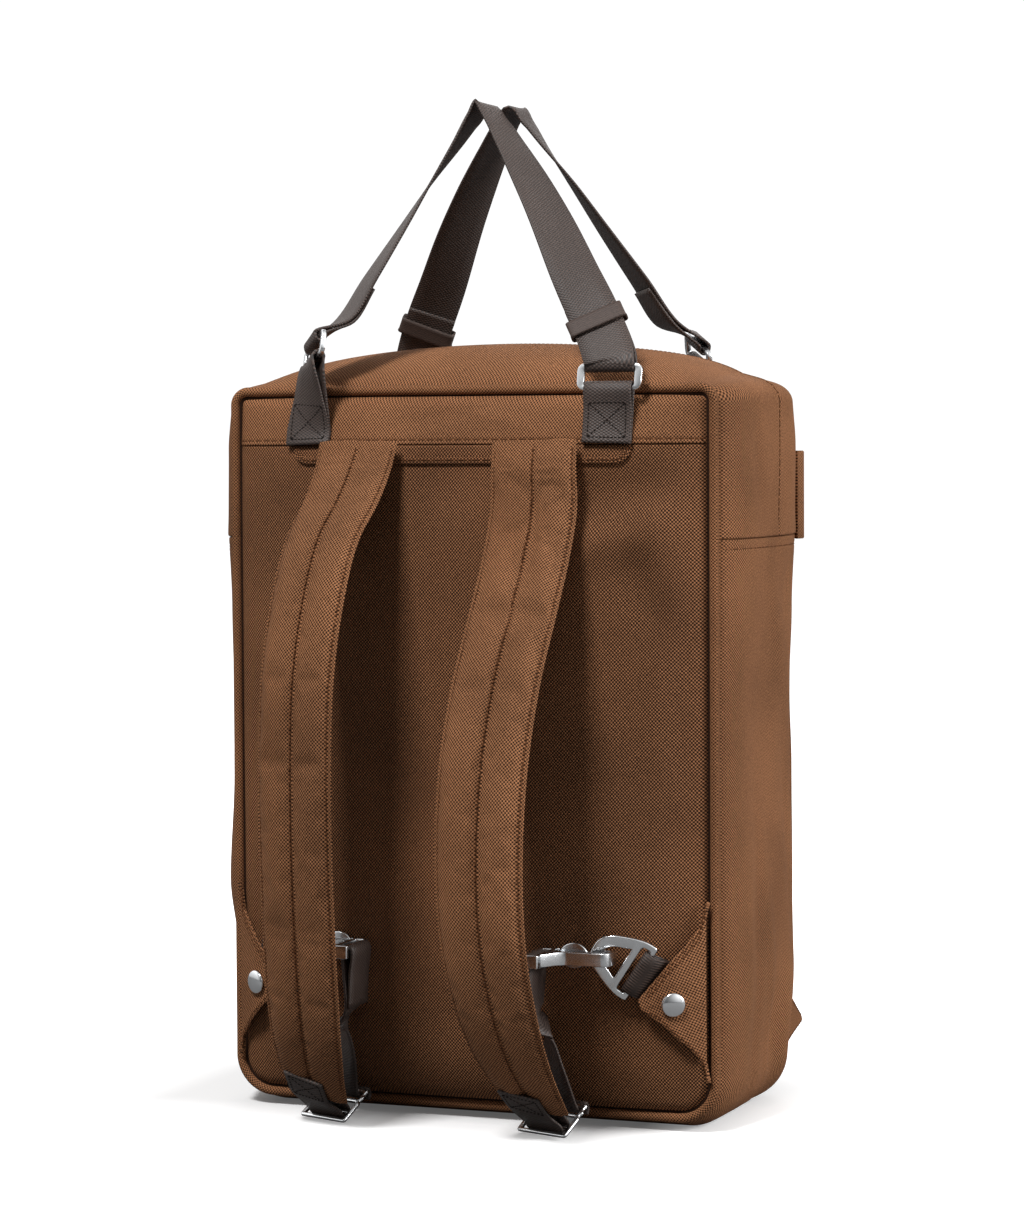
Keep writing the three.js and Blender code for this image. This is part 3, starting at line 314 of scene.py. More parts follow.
def through_points(points, steps, power):
    """Catmull-Rom curve through points. Knots are spaced by distance ** power, 0.5 for an even
    curve without loops and 0 for a uniform one."""
    before = 2 * points[:1] - points[1:2]
    after = 2 * points[-1:] - points[-2:-1]
    x = np.concatenate([before, points, after])
    gap = np.linalg.norm(np.diff(x, axis=0), axis=1, keepdims=True) ** power
    gap = np.maximum(gap, 1e-4)
    x0, x1, x2, x3 = x[:-3], x[1:-2], x[2:-1], x[3:]
    d0, d1, d2 = gap[:-2], gap[1:-1], gap[2:]
    t1 = ((x1 - x0) / d0 - (x2 - x0) / (d0 + d1) + (x2 - x1) / d1) * d1
    t2 = ((x2 - x1) / d1 - (x3 - x1) / (d1 + d2) + (x3 - x2) / d2) * d1
    s = (np.arange(steps) / steps)[None, :, None]
    a, b, c, d = (v[:, None, :] for v in (x1, t1, -3 * x1 + 3 * x2 - 2 * t1 - t2, 2 * x1 - 2 * x2 + t1 + t2))
    curve = a + b * s + c * s ** 2 + d * s ** 3
    return np.concatenate([curve.reshape(-1, 3), points[-1:]])


def course(rows, steps):
    """Stations along rows: points, length so far, and the directions along, across and through."""
    p = through_points(np.array([r["p"] for r in rows]), steps, 0.5)
    wide = through_points(np.array([r["wide"] for r in rows]), steps, 0.0)
    at = np.arange(len(p)) / steps
    known = np.arange(len(rows))
    along = unit(np.gradient(p, axis=0))
    wide = unit(wide - along * (wide * along).sum(1, keepdims=True))
    length = np.concatenate([[0], np.cumsum(np.linalg.norm(np.diff(p, axis=0), axis=1))])
    return {
        "p": p, "along": along, "wide": wide, "through": unit(np.cross(along, wide)), "length": length,
        "width": np.interp(at, known, [r["width"] for r in rows]),
        "thick": np.interp(at, known, [r["thick"] for r in rows]),
    }


# Section of flat webbing with rounded edges: shares of the half width and half thickness
WEB_SECTION = np.array([
    [-1, -0.45], [-0.975, -1], [-0.5, -1], [0, -1], [0.5, -1], [0.975, -1], [1, -0.45],
    [1, 0.45], [0.975, 1], [0.5, 1], [0, 1], [-0.5, 1], [-0.975, 1], [-1, 0.45],
])


def ribbon(name, stations, section=WEB_SECTION):
    """A band: a section carried along a course, with a UV of width and length."""
    half = stations["width"][:, None, None] / 2
    deep = stations["thick"][:, None, None] / 2
    rings = (stations["p"][:, None, :]
             + stations["wide"][:, None, :] * section[None, :, :1] * half
             + stations["through"][:, None, :] * section[None, :, 1:] * deep)
    across = section[None, :, 0] * half[:, :, 0]
    length = np.broadcast_to(stations["length"][:, None], across.shape)
    return tube(name, rings, np.stack([across, length], -1))


def on_band(stations, at, across, face):
    """Points and normals on a face of a band, at lengths along it and distances across it."""
    def pick(key):
        values = stations[key]
        return np.stack([np.interp(at, stations["length"], values[:, i]) for i in range(3)], -1)
    normal = unit(pick("through")) * face
    thick = np.interp(at, stations["length"], stations["thick"])[:, None]
    return pick("p") + unit(pick("wide")) * np.asarray(across)[:, None] + normal * thick / 2, normal


# Stitches: short rounded threads, half sunk in the cloth
STITCH = {"pitch": 2.7, "length": 2.0, "radius": 0.38}
STITCH_RINGS = [(-0.5, 0.35), (-0.36, 0.9), (0, 1.1), (0.36, 0.9), (0.5, 0.35)]
STITCH_SIDES = 6


def stitch_row(points, normals, size=STITCH):
    """Points and faces of one row: capsules set end to end along a path, one for each pitch."""
    lengths = np.concatenate([[0], np.cumsum(np.linalg.norm(np.diff(points, axis=0), axis=1))])
    count = max(1, int(lengths[-1] / size["pitch"]))
    at = (np.arange(count) + 0.5) * lengths[-1] / count

    def pick(values, where):
        return np.stack([np.interp(where, lengths, values[:, i]) for i in range(3)], -1)
    half = size["length"] / 2
    middle = pick(points, at)
    along = unit(pick(points, np.minimum(at + half, lengths[-1])) - pick(points, np.maximum(at - half, 0)))
    up = pick(normals, at)
    up = unit(up - along * (up * along).sum(1, keepdims=True))
    side = np.cross(along, up)
    turns = np.arange(STITCH_SIDES) * 2 * np.pi / STITCH_SIDES
    share = np.repeat([s for s, _ in STITCH_RINGS], STITCH_SIDES)
    radius = np.repeat([r for _, r in STITCH_RINGS], STITCH_SIDES) * size["radius"]
    turns = np.tile(turns, len(STITCH_RINGS))
    local = (along[:, None] * (share * size["length"])[None, :, None]
             + side[:, None] * (radius * np.cos(turns))[None, :, None]
             + up[:, None] * (radius * np.sin(turns))[None, :, None])
    ring = grid_faces(len(STITCH_RINGS), STITCH_SIDES, wrap=True)
    ring.append(list(range(STITCH_SIDES)))
    ring.append(list(range((len(STITCH_RINGS) - 1) * STITCH_SIDES, len(STITCH_RINGS) * STITCH_SIDES))[::-1])
    return (middle[:, None] + local).reshape(-1, 3), ring, len(share), count


def stitching(name, rows, material, size=STITCH):
    """One object for rows of stitches, each given as points and normals."""
    points, faces, start = [], [], 0
    for path, normals in rows:
        made, ring, each, count = stitch_row(path, normals, size)
        points.append(made)
        for i in range(count):
            faces.extend([[start + i * each + v for v in face] for face in ring])
        start += len(made)
    obj = new_object(name, np.concatenate(points), faces)
    outwards(obj)
    return place(obj, material)


# Materials


def add_node(tree, kind, inputs=None, **settings):
    """Adds a node with its settings, and links or fills its inputs."""
    made = tree.nodes.new(kind)
    for key, value in settings.items():
        setattr(made, key, value)
    for key, value in (inputs or {}).items():
        if isinstance(value, bpy.types.NodeSocket):
            tree.links.new(value, made.inputs[key])
        else:
            made.inputs[key].default_value = value
    return made


def new_material(name):
    """A material with its node tree and its shader."""
    material = bpy.data.materials.new(name)
    material.use_nodes = True
    return material, material.node_tree, material.node_tree.nodes["Principled BSDF"]


# Unevenness of woven cloth: noise per metre for the waver of its yarn, its loose fibres and its slow
# drift of shade, how far the yarn wavers as a share of a float, and the range that the shade takes
WAVER, FIBRE, DRIFT = 260.0, 900.0, 14.0
WAVER_SHARE = 0.35
SHADE_FROM, SHADE_TO = (0.7, 1.3), (0.72, 1.28)
YARN_BUMP = 0.7
# The same for sewing thread, with its roughness and gloss
TWIST = 1500.0
TWIST_SHADE = (0.7, 1.3)
THREAD_ROUGHNESS, THREAD_GLOSS = 0.7, 0.1
# Plated metal: worn patches per metre, their range, how much smoother or rougher they make it, and
# the strength and height in millimetres of the tumbled grain
PATCHES, PATCH_RANGE, PATCH_ROUGH = 90.0, (0.3, 0.7), (-0.05, 0.08)
GRAIN_BUMP, GRAIN_HEIGHT = 0.12, 0.03


def woven(name, gap, thread, across, along, relief, roughness, gloss, cover=(-0.25, 0.5)):
    """Woven yarn drawn from the piece's own UV: cos(2 pi u / across) cos(2 pi v / along) gives
    staggered floats of yarn with dark gaps between them. cover is where the wave starts to be yarn
    and where it is all yarn. Sizes in millimetres."""
    material, tree, shader = new_material(name)
    uv = add_node(tree, "ShaderNodeUVMap", uv_map="cloth")
    place_in = add_node(tree, "ShaderNodeTexCoord").outputs["Object"]
    waver = add_node(tree, "ShaderNodeTexNoise", {"Vector": uv.outputs[0], "Scale": WAVER, "Detail": 1.0})
    shift = add_node(tree, "ShaderNodeVectorMath", {0: waver.outputs["Color"], 1: (0.5, 0.5, 0.5)},
                     operation="SUBTRACT")
    shift = add_node(tree, "ShaderNodeVectorMath", {0: shift.outputs[0], "Scale": WAVER_SHARE * across * MM},
                     operation="SCALE")
    moved = add_node(tree, "ShaderNodeVectorMath", {0: uv.outputs[0], 1: shift.outputs[0]}, operation="ADD")
    split = add_node(tree, "ShaderNodeSeparateXYZ", {0: moved.outputs[0]})
    waves = []
    for socket, pitch in ((split.outputs["X"], across), (split.outputs["Y"], along)):
        angle = add_node(tree, "ShaderNodeMath", {0: socket, 1: 2 * math.pi / (pitch * MM)},
                         operation="MULTIPLY")
        waves.append(add_node(tree, "ShaderNodeMath", {0: angle.outputs[0]}, operation="COSINE").outputs[0])
    both = add_node(tree, "ShaderNodeMath", {0: waves[0], 1: waves[1]}, operation="MULTIPLY")
    weave = add_node(tree, "ShaderNodeMapRange", {"Value": both.outputs[0], "From Min": cover[0],
                                                  "From Max": cover[1]})
    fibre = add_node(tree, "ShaderNodeTexNoise", {"Vector": place_in, "Scale": FIBRE, "Detail": 2.0})
    drift = add_node(tree, "ShaderNodeTexNoise", {"Vector": place_in, "Scale": DRIFT, "Detail": 2.0})
    colour = add_node(tree, "ShaderNodeMix", {"Factor": weave.outputs[0], 6: gap, 7: thread},
                      data_type="RGBA")
    value = add_node(tree, "ShaderNodeMath", {0: drift.outputs["Fac"], 1: fibre.outputs["Fac"]},
                     operation="ADD")
    value = add_node(tree, "ShaderNodeMapRange", {"Value": value.outputs[0],
                                                  "From Min": SHADE_FROM[0], "From Max": SHADE_FROM[1],
                                                  "To Min": SHADE_TO[0], "To Max": SHADE_TO[1]})
    shaded = add_node(tree, "ShaderNodeHueSaturation", {"Value": value.outputs[0],
                                                        "Color": colour.outputs[2]})
    tree.links.new(shaded.outputs[0], shader.inputs["Base Color"])
    bump = add_node(tree, "ShaderNodeBump", {"Height": weave.outputs[0], "Strength": YARN_BUMP,
                                             "Distance": relief * MM})
    tree.links.new(bump.outputs[0], shader.inputs["Normal"])
    shader.inputs["Roughness"].default_value = roughness
    shader.inputs["Specular IOR Level"].default_value = gloss
    return material


def spun(name, colour):
    """Polyester sewing thread: twisted, slightly glossy, with fine twist lines."""
    material, tree, shader = new_material(name)
    place_in = add_node(tree, "ShaderNodeTexCoord").outputs["Object"]
    twist = add_node(tree, "ShaderNodeTexNoise", {"Vector": place_in, "Scale": TWIST, "Detail": 1.0})
    value = add_node(tree, "ShaderNodeMapRange", {"Value": twist.outputs["Fac"],
                                                  "To Min": TWIST_SHADE[0], "To Max": TWIST_SHADE[1]})
    shaded = add_node(tree, "ShaderNodeHueSaturation", {"Value": value.outputs[0], "Color": colour})
    tree.links.new(shaded.outputs[0], shader.inputs["Base Color"])
    shader.inputs["Roughness"].default_value = THREAD_ROUGHNESS
    shader.inputs["Specular IOR Level"].default_value = THREAD_GLOSS
    return material


def satin_metal(name, colour, roughness, grain):
    """Zinc die casting, tumbled and nickel plated: a soft satin with a fine tumbled grain."""
    material, tree, shader = new_material(name)
    place_in = add_node(tree, "ShaderNodeTexCoord").outputs["Object"]
    fine = add_node(tree, "ShaderNodeTexNoise", {"Vector": place_in, "Scale": 1.0 / (grain * MM),
                                                 "Detail": 3.0})
    broad = add_node(tree, "ShaderNodeTexNoise", {"Vector": place_in, "Scale": PATCHES, "Detail": 2.0})
    rough = add_node(tree, "ShaderNodeMapRange", {"Value": broad.outputs["Fac"],
                                                  "From Min": PATCH_RANGE[0], "From Max": PATCH_RANGE[1],
                                                  "To Min": roughness + PATCH_ROUGH[0],
                                                  "To Max": roughness + PATCH_ROUGH[1]})
    tree.links.new(rough.outputs[0], shader.inputs["Roughness"])
    bump = add_node(tree, "ShaderNodeBump", {"Height": fine.outputs["Fac"], "Strength": GRAIN_BUMP,
                                             "Distance": GRAIN_HEIGHT * MM})
    tree.links.new(bump.outputs[0], shader.inputs["Normal"])
    shader.inputs["Base Color"].default_value = colour
    shader.inputs["Metallic"].default_value = 1.0
    return material


def material_named(name):
    """A finish made by the operator for materials."""
    return bpy.data.materials[name]


CANVAS = "Polyester canvas, panama woven"
# The same canvas painted lighter for the pieces that should read brighter: painted light
CANVAS_PAINTED_LIGHTER = "Polyester canvas, panama woven, painted lighter"
WEBBING = "Polyamide webbing, dash woven"
RIBBED = "Polyamide webbing, ribbed"
GROSGRAIN = "Polyamide grosgrain, fine ribs"
THREAD = "Polyester sewing thread, brown"
DARK_THREAD = "Polyester sewing thread, dark brown"
SEAM_SHADE_CORD = "Dark cord, painted seam shade"
METAL = "Zinc casting, satin nickel plated"
POLISHED = "Steel rivet, polished nickel plated"


class BackpackSizes(bpy.types.PropertyGroup):
    """Sizes that a user would change."""

    cloth: FloatProperty(name="Cloth", description="Thickness of the canvas in mm",
                         default=1.4, min=0.5, max=3)
    weave: FloatProperty(name="Weave", description="Distance between yarn floats of the canvas in mm",
                         default=1.8, min=0.5, max=4)
    seam_width: FloatProperty(name="Seam width", description="Width of the turn into a body seam in mm",
                              default=6.0, min=1, max=10)
    seam_depth: FloatProperty(name="Seam depth", description="Depth of the turn into a body seam in mm",
                              default=4.0, min=0, max=6)
    bevel: FloatProperty(name="Metal edge", description="Rounding of metal edges in mm",
                         default=0.75, min=0.1, max=1)


def colour_property(name, description, code):
    """A colour property whose default is an sRGB hex colour turned linear."""
    return FloatVectorProperty(name=name, description=description, subtype="COLOR", size=4, min=0, max=1,
                               default=linear(code))


class BackpackColours(bpy.types.PropertyGroup):
    """Colours that a user would change."""

    canvas: colour_property("Canvas", "Lit yarn of the canvas", "#a87450")
    canvas_gap: colour_property("Canvas gaps", "Gaps between the canvas yarns", "#2a190f")
    webbing: colour_property("Webbing", "Lit yarn of the webbing", "#4f3f38")
    webbing_gap: colour_property("Webbing gaps", "Gaps between the webbing yarns", "#1c1613")
    thread: colour_property("Thread", "Sewing thread on the canvas", "#5a3720")
    metal: colour_property("Metal", "Plating of the hardware", "#dcdee0")
    floor: colour_property("Floor", "Floor and backdrop", "#f4f4f4")


class BACKPACK_OT_materials(bpy.types.Operator):
    """Make the finishes of cloth, webbing, thread and metal."""

    bl_idname = "backpack.materials"
    bl_label = "Materials"

    def execute(self, context):
        sizes = context.scene.backpack_sizes
        colours = context.scene.backpack_colours
        canvas = {"gap": colours.canvas_gap, "thread": colours.canvas, "across": sizes.weave,
                  "along": sizes.weave * 1.1, "roughness": 0.85, "gloss": 0.12}
        webbing = {"gap": colours.webbing_gap, "thread": colours.webbing}
        # Heavy yarn in a panama weave: lit floats and dark gaps. The real floats are about
        # 1.1 mm apart, drawn coarser so that they show.
        woven(CANVAS, **canvas, relief=0.45)
        # A lighter copy with fewer dark gaps: painted light on straps, yoke, gussets, tabs, trim and lips
        woven(CANVAS_PAINTED_LIGHTER, **canvas, relief=0.35, cover=(-0.55, 0.5))
        # Flat band whose surface is rows of short dashes, 1.3 mm wide and 0.8 mm high
        woven(WEBBING, **webbing, across=2.6, along=1.7, relief=0.25, roughness=0.55, gloss=0.5,
              cover=(-0.7, 0.8))
        # Ribs along the band, with hardly any cross rows
        woven(RIBBED, **webbing, across=1.5, along=40.0, relief=0.15, roughness=0.55, gloss=0.4)
        # Fine close ribs that read as nearly smooth
        woven(GROSGRAIN, **webbing, across=6.0, along=1.1, relief=0.08, roughness=0.65, gloss=0.4,
              cover=(-1.5, 0.85))
        spun(THREAD, colours.thread)
        spun(DARK_THREAD, colours.webbing_gap)
        # Colour of the dark cords in the body seams' creases: painted shade
        spun(SEAM_SHADE_CORD, colours.canvas_gap)
        satin_metal(METAL, colours.metal, roughness=0.22, grain=0.35)
        satin_metal(POLISHED, colours.metal, roughness=0.09, grain=0.6)
        return {"FINISHED"}


# Body


def panel_grid(skin, low, high, rows, columns, inset):
    """Points over the outline between two heights, set in from it: each row spans its width there."""
    z = crowded(max(low, SEAM_LOW + inset), min(high, SEAM_TOP - inset), rows)[:, None]
    x = crowded(-1, 1, columns)[None, :] * (half_width(z) - inset)
    z = np.broadcast_to(z, x.shape)
    return x, z, skin(x, z)


YOKE_STITCH = 2.6
PANEL_INSET = 3.0
# Points across each panel, and up the back panel, its yoke and the front side
PANEL_ACROSS = 190
PANEL_UP, YOKE_UP, FRONT_UP = 260, 60, 240
# The panel dips under the yoke, whose hem stands proud: width and depth of both turns, then rise and
# reach of the hem and of the dent that its stitches pull
UNDER_YOKE, YOKE_EDGE = (1.6, 1.2), (1.1, 0.9)
YOKE_HEM, YOKE_PULL = (0.7, 6), (-0.4, 0.8)


class BACKPACK_OT_panels(bpy.types.Operator):
    """Make the carrying side, its yoke and the front side, with their edges turned into the seams."""

    bl_idname = "backpack.panels"
    bl_label = "Panels"

    def execute(self, context):
        sizes = context.scene.backpack_sizes

        def sheet(name, skin, low, high, rows, way, trim):
            x, z, y = panel_grid(skin, low, high, rows, PANEL_ACROSS, PANEL_INSET)
            turn = roll(to_outline(x, z) - PANEL_INSET, sizes.seam_width, sizes.seam_depth)
            y = y - way * turn + way * trim(x, z)
            points, uv = np.stack([x, y, z], -1), np.stack([x, z], -1)
            obj = cloth_sheet(name, points, uv, vec(0, way, 0), sizes.cloth)
            # The yoke takes the canvas painted lighter: painted light
            finish = CANVAS_PAINTED_LIGHTER if name == "back_yoke" else CANVAS
            return place(obj, material_named(finish), (name,))

        def under_yoke(x, z):
            return -roll(YOKE_SEAM - z, *UNDER_YOKE)

        def over_panel(x, z):
            up = z - YOKE_SEAM
            return ridge(up, *YOKE_HEM) - roll(up, *YOKE_EDGE) + ridge(up - YOKE_STITCH, *YOKE_PULL)

        sheet("back_panel", back_skin, SEAM_LOW, YOKE_SEAM, PANEL_UP, -1, under_yoke)
        sheet("back_yoke", back_skin, YOKE_SEAM, SEAM_TOP, YOKE_UP, -1, over_panel)
        sheet("front_panel", front_skin, SEAM_LOW, SEAM_TOP, FRONT_UP, 1, lambda x, z: 0 * x)
        x = np.linspace(-HALF + 4, HALF - 4, 400)
        z = np.full_like(x, YOKE_SEAM + YOKE_STITCH)
        points = np.stack([x, back_skin(x, z) - over_panel(x, z), z], -1)
        normals = np.tile(vec(0, -1, 0), (len(x), 1))
        stitching("yoke_stitching", [(points, normals)], material_named(THREAD))
        return {"FINISHED"}


def outline_run(above):
    """Points of the seam outline below or above the side seam, from right to left, with their
    outward direction and the length along them."""
    spots = []

    def add(x, z, nx, nz):
        spots.append(np.broadcast_arrays(x, z, nx, nz))
    if above:
        z = crowded(SIDE_SEAM, SEAM_TOP - CORNER_TOP, 46)
        add(HALF, z, 1.0, 0.0)
        turn = np.linspace(0, np.pi / 2, 20)[1:]
        add(HALF - CORNER_TOP * (1 - np.cos(turn)), SEAM_TOP - CORNER_TOP * (1 - np.sin(turn)),
            np.cos(turn), np.sin(turn))
        add(np.linspace(HALF - CORNER_TOP, 0, 60)[1:], SEAM_TOP, 0.0, 1.0)
    else:
        z = crowded(SIDE_SEAM, SEAM_LOW + CORNER_LOW, 150)
        add(HALF, z, 1.0, 0.0)
        turn = np.linspace(0, np.pi / 2, 24)[1:]
        add(HALF - CORNER_LOW * (1 - np.cos(turn)), SEAM_LOW + CORNER_LOW * (1 - np.sin(turn)),
            np.cos(turn), -np.sin(turn))
        add(np.linspace(HALF - CORNER_LOW, 0, 50)[1:], SEAM_LOW, 0.0, -1.0)
    x, z, nx, nz = (np.concatenate([np.atleast_1d(s[i]) for s in spots]).astype(float) for i in range(4))
    x, z, nx, nz = (np.concatenate([v, f * v[-2::-1]]) for v, f in ((x, -1), (z, 1), (nx, -1), (nz, 1)))
    length = np.concatenate([[0], np.cumsum(np.hypot(np.diff(x), np.diff(z)))])
    return {"x": x[:, None], "z": z[:, None], "nx": nx[:, None], "nz": nz[:, None], "length": length[:, None]}


def swell(run, t):
    """Stand-off of the gusset from the seam outline, mixed by its outward direction. With t the
    share of the half depth and u that of the half width, the sides swell by (1 - t^4)^0.7, the crown
    by (1 - 0.5 u^2 - 0.35 u^8) (1 - t^2)^0.75, and the sole is flat with rounded edges."""
    sides = SIDE_SWELL * np.where(run["x"] < 0, eased(SIDE_ROWS, "left", run["z"] / SEAM_TOP),
                                  eased(SIDE_ROWS, "right", run["z"] / SEAM_TOP)) * (1 - t ** 4) ** 0.7
    u = run["x"] / HALF
    arch = 1 - 0.5 * u ** 2 - 0.35 * u ** 8
    crown = CROWN_RISE * arch * (1 - t * t) ** 0.75
    sole = SEAM_LOW * np.sqrt(np.clip((1 - np.abs(t)) / (1 - SOLE_FLAT), 0, 1))
    folds = 0
    for side in SIDES.values():
        hit = [((f["t"] * DEPTH / 2, f["z"]), f) for f in SIDE_FOLDS if f["side"] == side]
        folds = folds + np.where(np.sign(run["x"]) == side, hills(t * DEPTH / 2, run["z"], hit), 0)
    level = np.where(run["nz"] > 0, crown, sole)
    return run["nx"] ** 2 * (sides + folds * (1 - t ** 4)) + run["nz"] ** 2 * level


def gusset_points(run, t, seam_width, seam_depth, trim=0):
    """Points of the gusset at shares t of the half depth, with both edges turned into the seams."""
    from_edge = (1 - np.abs(t)) * DEPTH / 2
    out = swell(run, t) - roll(from_edge, seam_width, seam_depth) + trim
    y = t * DEPTH / 2 + np.where(t > 0, t * t * seam_wave(run["z"]), 0)
    return np.stack(np.broadcast_arrays(run["x"] + run["nx"] * out, y, run["z"] + run["nz"] * out), -1)


SIDE_STITCH = 5.5
GUSSET_TURN = 0.12
ZIP_STITCH = 4.0
ZIP_OVERLAP = 1.2
# Widths and depths of the turns at the side seam, below and above it, and at the zip's flap, then
# rise and reach of both hems and of the dent that stitches pull
UNDER_SIDE, SIDE_EDGE, ZIP_EDGE = (1.4, 1.3), (1.2, 0.8), (1.2, 0.7)
SIDE_HEM, ZIP_HEM, STITCH_PULL = (0.5, 8), (0.9, 9), (-0.35, 0.9)
# How far the flap's stitches stand out, and what share of the depth the side's stitches run
ZIP_THREAD = 0.55
SIDE_RUN = 0.93


class BACKPACK_OT_gussets(bpy.types.Operator):
    """Make the sides, sole and crown, with the side seam and the covered zip."""

    bl_idname = "backpack.gussets"
    bl_label = "Gussets"

    def execute(self, context):
        sizes = context.scene.backpack_sizes
        canvas, thread = material_named(CANVAS_PAINTED_LIGHTER), material_named(THREAD)
        low, top = outline_run(False), outline_run(True)
        zip_t = ZIP_Y / (DEPTH / 2)
        overlap = ZIP_OVERLAP / (DEPTH / 2)

        def sheet(name, run, t, trim):
            points = gusset_points(run, t, sizes.seam_width, sizes.seam_depth * GUSSET_TURN, trim)
            uv = np.stack(np.broadcast_arrays(run["length"], t * DEPTH / 2), -1)
            return place(cloth_sheet(name, points, uv, None, sizes.cloth), canvas, (name,))

        def stitch_path(run, t, trim=0):
            t = np.atleast_2d(t)
            points = gusset_points(run, t, sizes.seam_width, sizes.seam_depth * GUSSET_TURN, trim)
            normals = np.stack(np.broadcast_arrays(run["nx"], 0 * run["nx"], run["nz"]), -1)
            return points, np.broadcast_to(normals, points.shape)

        below = SIDE_SEAM - low["z"]
        low_trim = -roll(below, *UNDER_SIDE) + ridge(below - SIDE_STITCH, *STITCH_PULL)
        sheet("lower_gusset", low, crowded(-1, 1, 84)[None, :], low_trim)
        above = top["z"] - SIDE_SEAM
        edge_trim = ridge(above, *SIDE_HEM) - roll(above, *SIDE_EDGE)
        back_t = crowded(-1, zip_t + overlap, 50)[None, :]
        from_zip = (zip_t + overlap - back_t) * DEPTH / 2
        zip_trim = (ridge(from_zip, *ZIP_HEM) - roll(from_zip, *ZIP_EDGE)
                    + ridge(from_zip - ZIP_STITCH, *STITCH_PULL))
        sheet("top_gusset_back", top, back_t, edge_trim + zip_trim)
        sheet("top_gusset_front", top, crowded(zip_t - overlap, 1, 40)[None, :], edge_trim)

        rows = []
        points, normals = stitch_path(top, zip_t + overlap - ZIP_STITCH / (DEPTH / 2))
        rows.append((points[:, 0] + normals[:, 0] * ZIP_THREAD, normals[:, 0]))
        across = np.linspace(-SIDE_RUN, SIDE_RUN, 120)
        for side in SIDES.values():
            spot = {"x": vec([side * HALF]), "z": vec([SIDE_SEAM - SIDE_STITCH]),
                    "nx": vec([side]), "nz": vec([0])}
            points, normals = stitch_path(spot, across, STITCH_PULL[0])
            rows.append((points[0], normals[0]))
        stitching("gusset_stitching", rows, thread)
        return {"FINISHED"}


# Both body seams: a rolled lip where the gusset turns in, and a dark cord that paints the shade in
# the crease between lip and panel. Radius, and places outwards from the outline and from the seam plane.
SEAM_LIP = {"radius": 2.7, "out": 0.5, "front": 0.9}
SEAM_CREASE_SHADE = {"radius": 1.15, "out": -2.7, "front": 0.4}


def seam_tube(size, above, way, around=12):
    """Rings and UV of a round cord along a body seam: a circle carried round the seam outline."""
    run = outline_run(above)
    turn = np.linspace(0, 2 * np.pi, around, endpoint=False)
    level = np.concatenate([run["nx"], 0 * run["nx"], run["nz"]], -1)[:, None]
    y = way * (DEPTH / 2 + size["front"]) + (seam_wave(run["z"]) if way > 0 else 0 * run["z"])
    middle = np.concatenate([run["x"], y, run["z"]], -1)[:, None] + level * size["out"]
    radius = size["radius"]
    rings = middle + level * radius * np.cos(turn)[:, None] + vec(0, radius, 0) * np.sin(turn)[:, None]
    return rings, np.stack(np.broadcast_arrays(run["length"], turn * radius), -1)


class BACKPACK_OT_seams(bpy.types.Operator):
    """Make the rolled lips of both body seams and the dark cords that paint shade in their creases."""

    bl_idname = "backpack.seams"
    bl_label = "Body seams"

    def execute(self, context):
        # The crease cords are painted shade: dark cords where the crease would lie in shadow
        for size, kind, finish in ((SEAM_LIP, "lip", CANVAS_PAINTED_LIGHTER), (SEAM_CREASE_SHADE, "crease", SEAM_SHADE_CORD)):
            for above, level in ((False, "low"), (True, "high")):
                for way, side in ((-1, "back"), (1, "front")):
                    cord = tube(f"{kind}_{side}_{level}", *seam_tube(size, above, way))
                    place(cord, material_named(finish))
        return {"FINISHED"}


# Patch under the straps: its hem runs below the yoke seam and turns up to it at both ends
PATCH_LOW, PATCH_HIGH = node_box("strap_patch")
PATCH_TURN = 9
# How far it reaches past the part's patch on each side, how much shorter it is, its stand-off and
# thickness, and its hem: width, thickness, stand-off and places inwards of the band and its stitches
PATCH_WIDER, PATCH_SHORTER = 2, 1
PATCH_OUT, PATCH_THICK = 0.7, 0.6
HEM_WIDTH, HEM_THICK, HEM_OUT = 3.6, 1.3, 0.9
HEM_IN, HEM_STITCH, HEM_THREAD = 1.7, 2.0, 0.75
PATCH_LINE = 160


class BACKPACK_OT_patch(bpy.types.Operator):
    """Make the patch under the straps with its turned and sewn hem."""

    bl_idname = "backpack.patch"
    bl_label = "Strap patch"

    def execute(self, context):
        half = PATCH_HIGH[0] + PATCH_WIDER
        low = PATCH_LOW[2] + PATCH_SHORTER
        turn = np.linspace(0, np.pi / 2, 14)
        arc_x = half - PATCH_TURN + PATCH_TURN * np.sin(turn)
        arc_z = low + PATCH_TURN * (1 - np.cos(turn))
        line = np.linspace(-half + PATCH_TURN, half - PATCH_TURN, PATCH_LINE)
        x = np.concatenate([-arc_x[::-1], line[1:-1], arc_x])
        z = np.concatenate([arc_z[::-1], np.full(PATCH_LINE - 2, low), arc_z])
        s = np.linspace(0, 1, 8)[:, None]
        grid_z = z[None, :] * (1 - s) + (YOKE_SEAM - GAP) * s
        grid_x = np.broadcast_to(x[None, :], grid_z.shape)
        y = back_skin(grid_x, grid_z) - PATCH_OUT
        canvas = material_named(CANVAS)
        points, uv = np.stack([grid_x, y, grid_z], -1), np.stack([grid_x, grid_z], -1)
        patch = cloth_sheet("strap_patch", points, uv, vec(0, -1, 0), PATCH_THICK)
        place(patch, canvas, ("strap_patch",))
        path = np.stack([x, back_skin(x, z) - HEM_OUT, z], -1)
        along = unit(np.gradient(path, axis=0))
        outward = np.tile(vec(0, -1, 0), (len(x), 1))
        wide = np.cross(along, outward)
        rows = [row(p - w * HEM_IN, w, HEM_WIDTH, HEM_THICK) for p, w in zip(path[::3], wide[::3])]
        hem = ribbon("patch_hem", course(rows, 2))
        place(hem, canvas)
        sewn = path - wide * HEM_STITCH + outward * HEM_THREAD
        stitching("patch_stitching", [(sewn, outward)], material_named(THREAD))
        return {"FINISHED"}


# Shoulder straps

STRAP_WIDTH = 50
STRAP_THICK = 10
STRAP_TOP = 371.5
STRAP_BOW = 100
